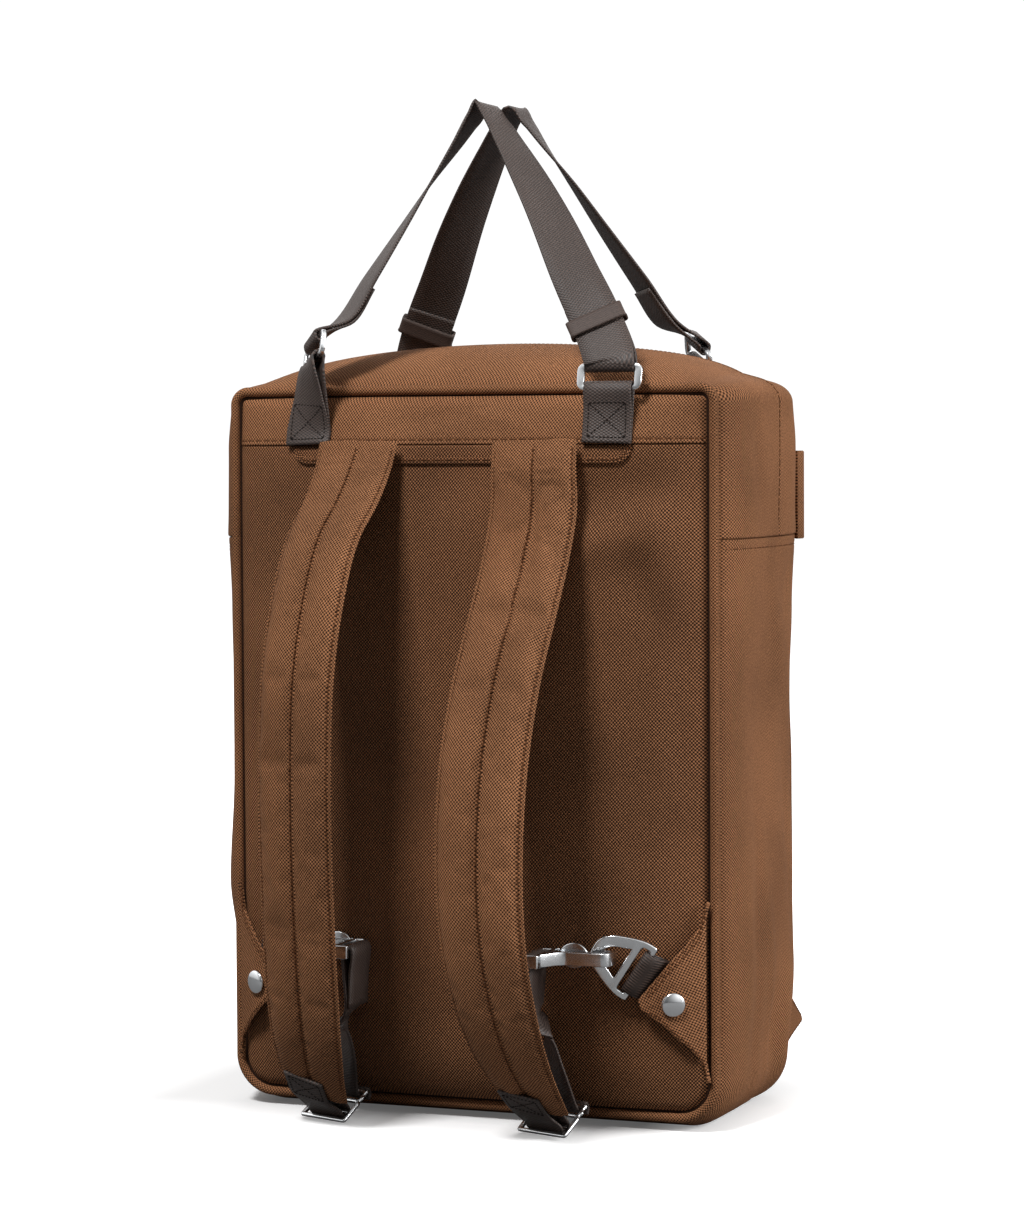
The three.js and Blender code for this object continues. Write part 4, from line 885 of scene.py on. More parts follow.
# Course of each strap from the yoke down: height as a share of STRAP_TOP, stand-off from the
# seam plane as a share of STRAP_BOW, sideways as a share of HALF, turn in degrees, width and
# thickness as shares of STRAP_WIDTH and STRAP_THICK
STRAP_ROWS = {
    "right": [
        (1.009, 0.235, 0.335, 0, 0.97, 0.28), (0.965, 0.27, 0.34, 0, 0.98, 0.8),
        (0.91, 0.29, 0.345, 0, 1, 1), (0.84, 0.39, 0.34, 0, 1, 1),
        (0.765, 0.56, 0.335, 0, 1, 1), (0.66, 0.81, 0.33, 0, 1, 1),
        (0.54, 1.0, 0.33, 0, 1, 1), (0.41, 1.08, 0.335, -2, 1, 1),
        (0.3, 1.06, 0.345, -5, 1, 1), (0.21, 0.96, 0.36, -8, 1, 0.95),
        (0.135, 0.8, 0.375, -12, 0.96, 0.85), (0.08, 0.62, 0.39, -16, 0.88, 0.7),
        (0.046, 0.47, 0.395, -19, 0.8, 0.5),
    ],
    "left": [
        (1.009, 0.225, 0.4, -4, 0.97, 0.28), (0.965, 0.3, 0.405, -8, 0.98, 0.8),
        (0.92, 0.44, 0.41, -12, 1, 1), (0.86, 0.68, 0.42, -15, 1, 1),
        (0.765, 0.87, 0.425, -15, 1, 1), (0.66, 0.96, 0.435, -15, 1, 1),
        (0.54, 0.98, 0.44, -15, 1, 1), (0.41, 0.96, 0.445, -15, 1, 1),
        (0.3, 0.9, 0.455, -15, 1, 1), (0.21, 0.82, 0.47, -15, 1, 0.95),
        (0.135, 0.71, 0.49, -16, 0.96, 0.85), (0.08, 0.58, 0.51, -18, 0.88, 0.7),
        (0.046, 0.47, 0.52, -20, 0.8, 0.5),
    ],
}


def strap_course(name, steps):
    """The course of a padded strap."""
    rows = []
    for up, out, side, turn, width, thick in STRAP_ROWS[name]:
        angle = math.radians(turn)
        rows.append(row((SIDES[name] * side * HALF, -DEPTH / 2 - out * STRAP_BOW, up * STRAP_TOP),
                        (math.cos(angle), math.sin(angle), 0), width * STRAP_WIDTH, thick * STRAP_THICK))
    return course(rows, steps)


# Middle seam and sewn lips of a strap as shares of its half width, and rise of the flat lips as a
# share of its half thickness
STRAP_SEAM = 0.03
STRAP_LIP = 0.93
LIP_RISE = 0.13
# Depth and reach of the groove at the middle seam, and height and softness of the step beside it
GROOVE = (0.42, 0.03)
STEP_RISE, STEP_SOFT = 0.16, 0.012
# Cloth that is blown up over the padding: pressure, and how far a point may move
SWELL_PRESSURE, SWELL_CAP = 2.5, 1.6
# Stations between two rows of a strap, and how many at each end hold no stitches
STRAP_STEPS, STRAP_BARE = 14, 4
# Stitch rows: place across, height through, and share of the strap's length that they run
STRAP_STITCHES = ((STRAP_SEAM - 0.03, 0.82, 0.97), (STRAP_LIP - 0.02, 0.3, 0.94),
                  (-STRAP_LIP + 0.02, 0.3, 0.94))


def strap_face(v):
    """Height of a strap's padded face across it, as a share of its half thickness: the root of
    1 - (v / STRAP_LIP)^5 between its sewn lips, on top of their own rise."""
    pad = np.clip(1 - np.abs(v / STRAP_LIP) ** 5, 0, 1) ** 0.5
    return LIP_RISE + (1 - LIP_RISE) * pad


def strap_section():
    """Shares across and through of a strap's section, and which of its points are sewn down. Its
    outer face has a groove at the middle seam and a step down to the right of it."""
    over = np.concatenate([crowded(-1, STRAP_SEAM, 17), crowded(STRAP_SEAM, 1, 17)[1:]])
    under = crowded(1, -1, 25)
    groove = ridge(over - STRAP_SEAM, *GROOVE)
    step = STEP_RISE / (1 + np.exp(-(over - STRAP_SEAM) / STEP_SOFT)) * np.clip((1 - over) * 3, 0, 1)
    top = strap_face(over) - groove - step
    bottom = -strap_face(under)
    across = np.concatenate([over, under])
    sewn = (np.abs(across) > STRAP_LIP - 0.03)
    sewn[:len(over)] |= np.abs(over - STRAP_SEAM) < 0.02
    return np.stack([across, np.concatenate([top, bottom])], -1), sewn


def swell_cloth(obj, sewn, pressure, cap, frames=20):
    """Blows a closed cloth up between its sewn points with Blender's Cloth and keeps the result.
    The cloth is a little too large, stiff and weightless, so that it bulges without hanging. No
    point moves further than the cap, in millimetres."""
    group = obj.vertex_groups.new(name="sewn")
    group.add(np.flatnonzero(sewn).tolist(), 1.0, "REPLACE")
    before = np.empty(len(obj.data.vertices) * 3)
    obj.data.vertices.foreach_get("co", before)
    modifier = obj.modifiers.new("Swell", "CLOTH")
    cloth = modifier.settings
    cloth.quality = 5
    cloth.mass = 0.25
    cloth.use_pressure = True
    cloth.uniform_pressure_force = pressure
    cloth.effector_weights.gravity = 0
    cloth.vertex_group_mass = group.name
    cloth.shrink_min = -0.012
    cloth.bending_stiffness = 0.4
    scene = bpy.context.scene
    modifier.point_cache.frame_start, modifier.point_cache.frame_end = 1, frames
    for number in range(1, frames + 1):
        scene.frame_set(number)
    blown = obj.evaluated_get(bpy.context.evaluated_depsgraph_get()).to_mesh()
    after = np.empty_like(before)
    blown.vertices.foreach_get("co", after)
    move = (after - before).reshape(-1, 3)
    size = np.linalg.norm(move, axis=1, keepdims=True)
    move *= np.minimum(1, cap * MM / np.maximum(size, 1e-9))
    obj.modifiers.remove(modifier)
    obj.vertex_groups.remove(group)
    obj.data.vertices.foreach_set("co", before + move.ravel())
    obj.data.update()
    scene.frame_set(1)


class BACKPACK_OT_straps(bpy.types.Operator):
    """Make the padded shoulder straps, sewn along both edges and down the middle."""

    bl_idname = "backpack.straps"
    bl_label = "Shoulder straps"

    def execute(self, context):
        canvas, thread = material_named(CANVAS_PAINTED_LIGHTER), material_named(THREAD)
        section, sewn = strap_section()
        rows = []
        for name in SIDES:
            stations = strap_course(name, STRAP_STEPS)
            strap = ribbon(f"shoulder_strap_{name}", stations, section)
            count = len(stations["p"])
            pins = np.tile(sewn, (count, 1))
            pins[:3] = pins[-3:] = True
            swell_cloth(strap, pins.ravel(), SWELL_PRESSURE, SWELL_CAP)
            detail = strap.modifiers.new("Smooth", "SUBSURF")
            detail.levels = detail.render_levels = 1
            place(strap, canvas, (f"shoulder_strap_{name}",))
            half = stations["width"] / 2
            through, wide = stations["through"], stations["wide"]
            for across, height, reach in STRAP_STITCHES:
                points = (stations["p"] + wide * (across * half)[:, None]
                          + through * (stations["thick"] / 2 * height)[:, None])
                end = int(count * reach)
                rows.append((points[STRAP_BARE:end], through[STRAP_BARE:end]))
        stitching("strap_stitching", rows, thread)
        return {"FINISHED"}


# Webbing and its turns round bars

WEB = 1.5
BAR = 2.6
TURN_RADIUS = 2.9
TURN_STEPS = 4
TURN_LEG = 2.4
WEB_PITCH = 2.2
# Stations between two rows of a band of webbing, and of a handle
WEB_STEPS, HANDLE_STEPS = 6, 8
ADJUST_WIDTH = 25
HANDLE_WIDTH = 28


def turn_round(bar, wide, back, near, width, radius=TURN_RADIUS):
    """Rows of webbing in a half circle round a bar, with a short straight leg at each end. back is
    where the webbing comes from, near the side of the bar that it comes down on."""
    def spot(across, up):
        return row(bar + near * across + back * up, wide, width, WEB)
    turns = np.arange(TURN_STEPS + 1) / TURN_STEPS * math.pi
    bend = [spot(radius * math.cos(a), -radius * math.sin(a)) for a in turns]
    return [spot(radius, TURN_LEG)] + bend + [spot(-radius, TURN_LEG)]


BUCKLE_WIDTH = 34
BUCKLE_LEAN = 34
BUCKLE_BARS = (1.2, 7.6, 16.4, 23.8)
BUCKLE_BAR = 2.4
BUCKLE_SLOT = 28.4
SCALLOP = 1.4
BUCKLE_SHEET = 2
BUCKLE_LIFT = 2.4
BUCKLE_BACK = 7
FOOT_WIDTH = 25.5
TONGUE_SHIFT = 2.5


def buckle_spot(name):
    """Where a ladder buckle stands: its bars, its width direction, the direction from its front
    bar to its back bar, and the normal of its plate."""
    stations = strap_course(name, 2)
    end = {key: values[-1] for key, values in stations.items()}
    angle = math.radians(STRAP_ROWS[name][-1][3])
    wide = vec(math.cos(angle), math.sin(angle), 0)
    lean = math.radians(BUCKLE_LEAN)
    along = vec(-wide[1], wide[0], 0) * math.cos(lean) + vec(0, 0, math.sin(lean))
    front = vec(end["p"][0], end["p"][1] + BUCKLE_BACK, BUCKLE_LIFT)
    bars = [front + along * (bar - BUCKLE_BARS[0]) for bar in BUCKLE_BARS]
    return stations, wide, along, np.cross(wide, along), bars


def tongue_course(name):
    """The webbing sewn to both faces of a strap's end and turned round the buckle's second bar."""
    stations, wide, along, up, bars = buckle_spot(name)

    def lay(back, face):
        i = -1 - back
        reach = stations["thick"][i] / 2 + LAY + WEB / 2
        middle = stations["p"][i] - stations["wide"][i] * TONGUE_SHIFT
        return row(middle + stations["through"][i] * face * reach, stations["wide"][i], FOOT_WIDTH, WEB)
    turn = turn_round(bars[1], wide, up, -along, FOOT_WIDTH)
    return course([lay(i, 1) for i in (2, 1, 0)] + turn + [lay(i, -1) for i in (0, 1, 2)], WEB_STEPS)


HOOK_Z = 97
HOOK_EYE = HALF - 90.5
EYE_BAR = 2.5
EYE_Y = -DEPTH / 2 - 42.2


# The adjusting webbing hangs from the eye's bar in two layers: how far down its stations are, and how
# far aside of the bar each layer is there. Its outer layer then goes on to the buckle: share of the
# way, sideways, in y, and share of the turn of its width. Its tail ends past the buckle's bar: along
# the buckle and out of it.
HANG = (12, 31)
INNER_ASIDE, OUTER_ASIDE = (-1.6, -0.6), (2.2, 1.7)
OUTER_BACK, OUTER_TURN = 0.5, 0.05
TO_BUCKLE = [(0.52, 1.5, 1, 0.3), (0.28, 0, -1, 0.7)]
ADJUST_TAIL = [(4.8, -1.6), (4.4, -5), (1.6, -7.2)]


def adjust_course(name):
    """The adjusting webbing: over the hook's eye, down behind the strap and round the buckle's
    last bar, with a curled tail."""
    side = SIDES[name]
    _, wide, along, up, bars = buckle_spot(name)
    eye = vec(side * (HOOK_EYE + EYE_BAR / 2), EYE_Y, HOOK_Z)
    foot = bars[3]
    cross = vec(0, -1, 0)

    def band(p, across):
        return row(p, across, ADJUST_WIDTH, WEB)

    def turned_to(share):
        return cross * (1 - share) + wide * share

    def hang(aside, down, back=0.0, share=0.0):
        return band(vec(eye[0] + side * aside, EYE_Y + back, HOOK_Z - down), turned_to(share))
    foot_turn = turn_round(foot, wide, up, -along, ADJUST_WIDTH)
    near = foot_turn[0]["p"]
    inner = [hang(INNER_ASIDE[1], HANG[1]), hang(INNER_ASIDE[0], HANG[0])]
    over = turn_round(eye, cross, vec(0, 0, -1), vec(-side, 0, 0), ADJUST_WIDTH)
    outer = [hang(OUTER_ASIDE[0], HANG[0]), hang(OUTER_ASIDE[1], HANG[1], OUTER_BACK, OUTER_TURN)]
    way = [band(near + (eye - near) * share + vec(side * aside, back, 0), turned_to(turn))
           for share, aside, back, turn in TO_BUCKLE]
    tail = [band(foot + along * out + up * rise, wide) for out, rise in ADJUST_TAIL]
    return course(inner + over + outer + way + foot_turn[:TURN_STEPS + 1] + tail, WEB_STEPS)


# Corner ring: a flat ring in a plane of its own. bar runs along its bars, pull towards the tab.
RING_MIDDLE = (HALF - 43, -DEPTH / 2 - 26, HOOK_Z - 6)
RING_SHIFT = 2.6
# Directions of its bars and its pull for the right side, and how far out along its pull the feet of
# its webbing lie
RING_ALONG, RING_PULL = (0.553, 0, 0.833), (0.8, 0.27, -0.531)
RING_FEET = (24, 18)
RING_BAR = 8.1
RING_TURN = 3


def corner_axes(side):
    """Directions along the corner ring's bars and its pull, and a function that gives a point."""
    mirror = vec(side, 1, 1)
    bar = unit(vec(*RING_ALONG) * mirror)
    pull = vec(*RING_PULL) * mirror
    pull = unit(pull - bar * pull.dot(bar))
    middle = vec(*RING_MIDDLE) * mirror + bar * RING_SHIFT
    return bar, pull, lambda p, q: middle + bar * p + pull * q


def ring_webbing_course(name):
    """Two layers of webbing from the corner seam round the ring's outer bar."""
    bar, pull, at = corner_axes(SIDES[name])
    face = np.cross(bar, pull)
    out = face * -np.sign(face[1])

    def lay(reach, layer):
        spot, half = at(0, reach), bar * ADJUST_WIDTH / 2
        tilt = (back_skin(spot[0] + half[0], spot[2] + half[2])
                - back_skin(spot[0] - half[0], spot[2] - half[2]))
        y = back_skin(spot[0], spot[2]) - LAY - WEB / 2 - layer * (WEB + GAP)
        return row((spot[0], y, spot[2]), (bar[0], tilt / ADJUST_WIDTH, bar[2]), ADJUST_WIDTH, WEB)
    turn = turn_round(at(0, RING_BAR), bar, pull, -out, ADJUST_WIDTH, RING_TURN)
    feet = [[lay(reach, layer) for reach in RING_FEET] for layer in (0, 1)]
    return course(feet[0] + turn + feet[1][::-1], WEB_STEPS)


def box_stitch(stations, low, high, half, face, cross=True):
    """Stitch rows on a band: a rectangle between two lengths, and its two diagonals."""
    corners = [(low, -half), (high, -half), (high, half), (low, half)]
    lines = [(corners[i], corners[(i + 1) % 4]) for i in range(4)]
    if cross:
        lines += [(corners[0], corners[2]), (corners[1], corners[3])]
    s = np.linspace(0, 1, 20)
    return [on_band(stations, a[0] + (b[0] - a[0]) * s, a[1] + (b[1] - a[1]) * s, face) for a, b in lines]


FINE_STITCH = {"pitch": 2.1, "length": 1.6, "radius": 0.32}
# Box of stitches on a strap's tongue: its two ends and its distance from the edges
TONGUE_BOX = (2, 17, 2.5)


class BACKPACK_OT_webbing(bpy.types.Operator):
    """Make the strap ends, the adjusting webbing and the webbing of the corner rings."""

    bl_idname = "backpack.webbing"
    bl_label = "Webbing"

    def execute(self, context):
        rows = []
        for name in SIDES:
            tongue = tongue_course(name)
            band = ribbon(f"strap_tongue_{name}", tongue)
            place(band, material_named(WEBBING), (f"strap_tongue_{name}",))
            rows += box_stitch(tongue, *TONGUE_BOX[:2], FOOT_WIDTH / 2 - TONGUE_BOX[2], 1)
            adjust = ribbon(f"adjust_webbing_{name}", adjust_course(name))
            place(adjust, material_named(WEBBING), (f"adjust_webbing_{name}",))
            band = ribbon(f"ring_webbing_{name}", ring_webbing_course(name))
            place(band, material_named(RIBBED), (f"ring_webbing_{name}",))
        stitching("tongue_stitching", rows, material_named(DARK_THREAD), FINE_STITCH)
        return {"FINISHED"}


# Handles

RING_LENGTH = 37
RING_HEIGHT = 15
RING_SIDE = 4.2
RING_CORNER = 5
RING_BEVEL = 0.6
RING_X = HALF - 55
RING_OUT = DEPTH / 2 + 11
RING_Z = SEAM_TOP + 6.5
HANDLE_TOP = 562.5
HANDLE_LEAN = RING_OUT - 16
GATHER = 0.76
ANCHOR_FOOT = 373
ANCHOR_LAY = 0.45
ANCHOR_TURN = 3.1
# An anchor's feet and its neck as shares of the way up to the seam, and how far the neck has gone to
# the ring
ANCHOR_FEET, ANCHOR_NECK, NECK_REACH = (0, 0.3), 0.45, 0.4
# How far the second layer goes back towards the next row of the first, at both ends of a handle
INNER_START, INNER_TAIL = 0.45, 0.8
# Sleeve round both layers: height, room across and through, share of its height and stand-off of
# each loop, and powers that square its loops
KEEPER_HEIGHT = 9.5
KEEPER_ROOM = (2, 1.8)
KEEPER_PROFILE = [(-0.5, 1.2), (-0.44, 1.5), (-0.3, 1.2), (0.3, 1.2), (0.5, 1.2), (0.5, 0.1), (-0.5, 0.1)]
KEEPER_POWERS = (0.22, 0.35)
# Boxes of stitches: how far from the end of the band they start and stop, and their half width
TACK_BOX = (9, 4, 8)
ANCHOR_BOX = (22, 3, 10.5)
# The slider ends' anchors stand this much further out than the keeper ends'
SLIDER_ASIDE = 4
# From keeper end over the top to slider end: rise, sideways as a share of RING_X, turn in degrees
HANDLE_ROWS = [
    (0.18, 0.9, 8), (0.37, 0.71, 30), (0.56, 0.525, 48), (0.72, 0.35, 62), (0.85, 0.195, 75),
    (0.945, 0.075, 84), (1.0, -0.02, 90), (0.945, -0.09, 96), (0.85, -0.19, 104), (0.72, -0.335, 114),
    (0.56, -0.5, 122), (0.37, -0.7, 130), (0.22, -0.86, 134),
]


def ring_spot(middle, long, rise):
    """A flat ring: its middle, its directions, and the middles of its high and low bars."""
    wide = unit(vec(*long))
    up = vec(*rise)
    up = unit(up - wide * up.dot(wide))
    reach = RING_HEIGHT / 2 - BAR / 2
    middle = vec(*middle)
    return {"middle": middle, "wide": wide, "up": up, "face": np.cross(wide, up),
            "high": middle + up * reach, "low": middle - up * reach}


KEEPER_RING = ring_spot((RING_X, -RING_OUT, RING_Z), (1, 0, 0), (0, 0.2, 0.98))
SLIDER_RING = ring_spot((-RING_X - 1, -RING_OUT - 2, RING_Z + 15.5), (-0.62, 0.68, -0.36), (0.0, 0.3, 0.95))


def between(a, b, share):
    """A row part of the way from one row to another."""
    return dict(a, p=a["p"] + (b["p"] - a["p"]) * share, wide=a["wide"] + (b["wide"] - a["wide"]) * share)


def through_of(a, b):
    """The direction through the webbing between two rows."""
    along = unit(b["p"] - a["p"])
    return unit(np.cross(along, unit(a["wide"] - along * a["wide"].dot(along))))


def handle_rows(lean):
    """Rows of a handle's first layer, leaning sideways and to the middle in step with its rise."""
    rows = []
    for up, side, turn in HANDLE_ROWS:
        angle = math.radians(turn)
        p = (side * RING_X + lean * up, -RING_OUT + HANDLE_LEAN * up, RING_Z + (HANDLE_TOP - RING_Z) * up)
        rows.append(row(p, (math.cos(angle), math.sin(angle), 0), HANDLE_WIDTH, WEB))
    return rows


def handle_course(lean):
    """The whole handle: round the keeper end's ring, over the top and round the slider's ring, with
    its second layer inside at both ends."""
    rows = handle_rows(lean)
    inner = through_of(rows[0], rows[1]) * WEB_PITCH
    inner_end = through_of(rows[-2], rows[-1]) * WEB_PITCH
    gathered = dict(rows[-1], width=HANDLE_WIDTH * (1 + GATHER) / 2)

    def moved(made, by):
        return dict(made, p=made["p"] + by)
    return course(
        [moved(between(rows[0], rows[1], INNER_START), inner), moved(rows[0], inner)]
        + turn_round(KEEPER_RING["high"], KEEPER_RING["wide"], KEEPER_RING["up"], -KEEPER_RING["face"],
                     HANDLE_WIDTH)
        + rows[:-1] + [gathered]
        + turn_round(SLIDER_RING["high"], SLIDER_RING["wide"], SLIDER_RING["up"], -SLIDER_RING["face"],
                     HANDLE_WIDTH * GATHER)
        + [moved(gathered, inner_end), moved(between(gathered, rows[-2], INNER_TAIL), inner_end)],
        HANDLE_STEPS)


def anchor_course(x, skin, spot, flip, gather):
    """Two layers of webbing from the yoke seam up round a ring's low bar."""
    width = HANDLE_WIDTH - 1
    near = spot["face"] * np.sign(spot["face"][1])
    wide = spot["wide"] * flip
    turn = turn_round(spot["low"], wide, -spot["up"], near, width * gather, ANCHOR_TURN)

    def foot(share, layer):
        z = ANCHOR_FOOT + (SEAM_TOP - ANCHOR_FOOT) * share
        slope = (skin(x + width / 2, z) - skin(x - width / 2, z)) / width
        y = skin(x, z) - ANCHOR_LAY - WEB / 2 - layer * (WEB + GAP)
        return row((x, y, z), (1, slope, 0), width, WEB)

    def neck(layer, end):
        low = foot(ANCHOR_NECK, layer)
        p = low["p"] + (end["p"] - low["p"]) * NECK_REACH
        return row(p, low["wide"] * 0.5 + wide * 0.5, width * (1 + gather) / 2, WEB)
    feet = [[foot(share, layer) for share in ANCHOR_FEET] for layer in (0, 1)]
    return course(feet[0] + [neck(0, turn[0])] + turn + [neck(1, turn[-1])] + feet[1][::-1], WEB_STEPS)


def keeper_rings(lean):
    """Closed loops of the sleeve round both layers, outside then inside. Each loop is a squared
    circle: the cosine and sine keep their sign and are raised to powers below 1."""
    rows = handle_rows(lean)
    along = unit(rows[1]["p"] - rows[0]["p"])
    start = between(rows[0], rows[1], 0.1)
    through = through_of(rows[0], rows[1])
    wide = unit(start["wide"] - along * start["wide"].dot(along))
    middle = start["p"] + through * WEB_PITCH / 2
    half_w, half_t = (HANDLE_WIDTH + KEEPER_ROOM[0]) / 2, (WEB_PITCH + WEB + KEEPER_ROOM[1]) / 2
    turn = np.linspace(0, 2 * np.pi, 48, endpoint=False)
    squared = np.stack([np.sign(wave) * np.abs(wave) ** power
                        for wave, power in zip((np.cos(turn), np.sin(turn)), KEEPER_POWERS)], -1)
    rings = [middle + along * (share * KEEPER_HEIGHT)
             + wide * squared[:, :1] * (half_w + out) + through * squared[:, 1:] * (half_t + out)
             for share, out in KEEPER_PROFILE]
    uv = [np.stack([squared[:, 0] * half_w, np.full(len(turn), share * KEEPER_HEIGHT)], -1)
          for share, _ in KEEPER_PROFILE]
    return np.array(rings + rings[:1]), np.array(uv + uv[:1])


HANDLES = {
    "back": {"turn": 1, "lean": -7, "keeper": "right", "slider": "left", "skin": back_skin},
    "front": {"turn": -1, "lean": 3, "keeper": "left", "slider": "right",
              "skin": lambda x, z: -front_skin(-x, z)},
}


def turned(obj, way):
    """Turns a finished mesh half round the upright axis where way is -1."""
    if way < 0:
        obj.data.transform(Matrix.Rotation(math.pi, 4, "Z"))
    return obj


def end_box(stations, box, face, cross=True):
    """A box of stitches near the end of a band."""
    start, stop, half = box
    end = stations["length"][-1]
    return box_stitch(stations, end - start, end - stop, half, face, cross)


def half_round(pair, way):
    """Stitch points and normals turned half round where way is -1."""
    return tuple(values * [way, way, 1] for values in pair)


class BACKPACK_OT_handles(bpy.types.Operator):
    """Make both tote handles with their keepers and their sewn anchors."""

    bl_idname = "backpack.handles"
    bl_label = "Handles"

    def execute(self, context):
        webbing, rows = material_named(WEBBING), []
        for place_name, spec in HANDLES.items():
            way, lean = spec["turn"], spec["lean"]
            stations = handle_course(lean)
            handle = turned(ribbon(f"handle_{place_name}", stations), way)
            place(handle, webbing, (f"handle_{place_name}",))
            rings, uv = keeper_rings(lean)
            faces = grid_faces(*rings.shape[:2], wrap=True)
            keeper = turned(new_object(f"keeper_{place_name}", rings, faces, uv), way)
            outwards(keeper, merge=0.01)
            place(keeper, material_named(GROSGRAIN), (f"keeper_{place_name}",))
            sewn = end_box(stations, TACK_BOX, 1, False)
            ends = ((spec["keeper"], RING_X, KEEPER_RING, 1, 1),
                    (spec["slider"], -RING_X - SLIDER_ASIDE, SLIDER_RING, -1, GATHER))
            for side, x, spot, flip, gather in ends:
                band = anchor_course(x, spec["skin"], spot, flip, gather)
                name = f"handle_anchor_{place_name}_{side}"
                place(turned(ribbon(name, band), way), webbing, (name,))
                for face in (-1, 1):
                    sewn += end_box(band, ANCHOR_BOX, face)
            rows += [half_round(pair, way) for pair in sewn]
        stitching("handle_stitching", rows, material_named(DARK_THREAD), FINE_STITCH)
        return {"FINISHED"}


# Corner tabs and front trim

# Upper and lower edge of a tab from its inner corner to the side seam, as shares of HALF and
# SEAM_TOP
TAB_ROWS = table(
    ("at", "upper_x", "upper_z", "lower_x", "lower_z"),
    (0.0, 0.745, 0.185, 0.755, 0.172), (0.3, 0.84, 0.226, 0.845, 0.147),
    (0.6, 0.915, 0.258, 0.925, 0.118), (0.82, 0.96, 0.28, 0.97, 0.096),
    (1.0, 0.982, 0.315, 0.982, 0.07),
)
TAB_LIFT = 5.9
TAB_RAMP = 0.12
TAB_CLOTH = 2.4
RIVET_X = 0.875
RIVET_Z = 0.179
RIVET_RADIUS = 6.5
RIVET_RISE = 2.6
# Width and depth of the turned edges, and the share and the length in millimetres that set how far a
# point is from them
TAB_EDGE = (1.6, 0.9)
TAB_SPREAD, TAB_LENGTH = (40, 0.15), 45
# Fold across the tab: rise and reach, and its place as a share. Pucker round the rivet: rise, reach
# and radius.
TAB_FOLD, TAB_FOLD_AT = (0.5, 0.05), 0.62
TAB_PUCKER, TAB_PUCKER_RADIUS = (0.35, 2.5), 8
# Stitch rows: distance from the upper edge, and of the single row from the lower edge, against the
# tab's height, which grows from its inner corner
TAB_STITCHES, TAB_STITCH_LOW = (2.6, 6.0), 3.0
TAB_HEIGHT, TAB_RUN = (8, 90), (0.12, 0.97)
# The cloth of the tabs is cut with its grain turned by 18 degrees
TAB_GRAIN = np.array([[0.95, -0.31], [0.31, 0.95]])


def tab_skin(x, z):
    """Under face of a corner tab: the panel, lifted over the webbing away from the side seam."""
    inward = np.clip((1 - np.abs(x) / HALF) / TAB_RAMP, 0, 1)
    return back_skin(x, z) - LAY - TAB_LIFT * inward


def tab_place(side, at, share):
    """A point on the tab: at from its inner corner outwards, share from its upper to its lower edge."""
    x = eased(TAB_ROWS, "upper_x", at) * (1 - share) + eased(TAB_ROWS, "lower_x", at) * share
    z = eased(TAB_ROWS, "upper_z", at) * (1 - share) + eased(TAB_ROWS, "lower_z", at) * share
    x, z = side * HALF * x, SEAM_TOP * z
    edge = np.minimum(share, 1 - share) * TAB_SPREAD[0] * (TAB_SPREAD[1] + at)
    folded = ridge(share - TAB_FOLD_AT + 0.1 * at, *TAB_FOLD) * np.clip(at * 2, 0, 1)
    from_rivet = np.hypot(np.abs(x) - RIVET_X * HALF, z - RIVET_Z * SEAM_TOP)
    pucker = ridge(from_rivet - TAB_PUCKER_RADIUS, *TAB_PUCKER)
    turned_in = roll(edge, *TAB_EDGE) + roll(at * TAB_LENGTH, *TAB_EDGE)
    y = tab_skin(x, z) - TAB_CLOTH + turned_in - folded + pucker
    return np.stack(np.broadcast_arrays(x, y, z), -1)


class BACKPACK_OT_corner_tabs(bpy.types.Operator):
    """Make the folded corner tabs over the ring webbing, with their stitch rows."""

    bl_idname = "backpack.corner_tabs"
    bl_label = "Corner tabs"

    def execute(self, context):
        rows = []
        normal = vec(0, -1, 0)
        for name, side in SIDES.items():
            at = crowded(0, 1, 60)[:, None]
            share = crowded(0, 1, 40)[None, :]
            points = tab_place(side, at, share)
            uv = points[..., [0, 2]] @ TAB_GRAIN
            tab = cloth_sheet(f"corner_tab_{name}", points, uv, normal, TAB_CLOTH - 0.3)
            place(tab, material_named(CANVAS_PAINTED_LIGHTER), (f"corner_tab_{name}",))
            s = np.linspace(*TAB_RUN, 60)
            height = TAB_HEIGHT[0] + TAB_HEIGHT[1] * s
            normals = np.tile(normal, (len(s), 1))
            for down in TAB_STITCHES:
                rows.append((tab_place(side, s, down / height) + normal * 0.05, normals))
            rows.append((tab_place(side, s, 1 - TAB_STITCH_LOW / height), normals))
        stitching("tab_stitching", rows, material_named(THREAD))
        return {"FINISHED"}


LOOP_LOW = 0.79
LOOP_HIGH = 0.915
LOOP_REACH = 14
# Bends of the loop's strip: how far out of the side, and how far past the front seam
LOOP_BENDS = [(0, 1), (0, LOOP_REACH * 0.6), (1.6, LOOP_REACH), (4.4, LOOP_REACH * 0.7), (3.4, 1)]
# The front tab: heights of its ends and its tip as shares of SEAM_TOP, its reach, half the width of
# its tip, and depth and turns of its wave
FRONT_TAB = {"high": 0.145, "tip": 0.1, "low": 0.07, "reach": 32}
TIP_HALF = 1
TAB_WAVE = (0.6, 5)


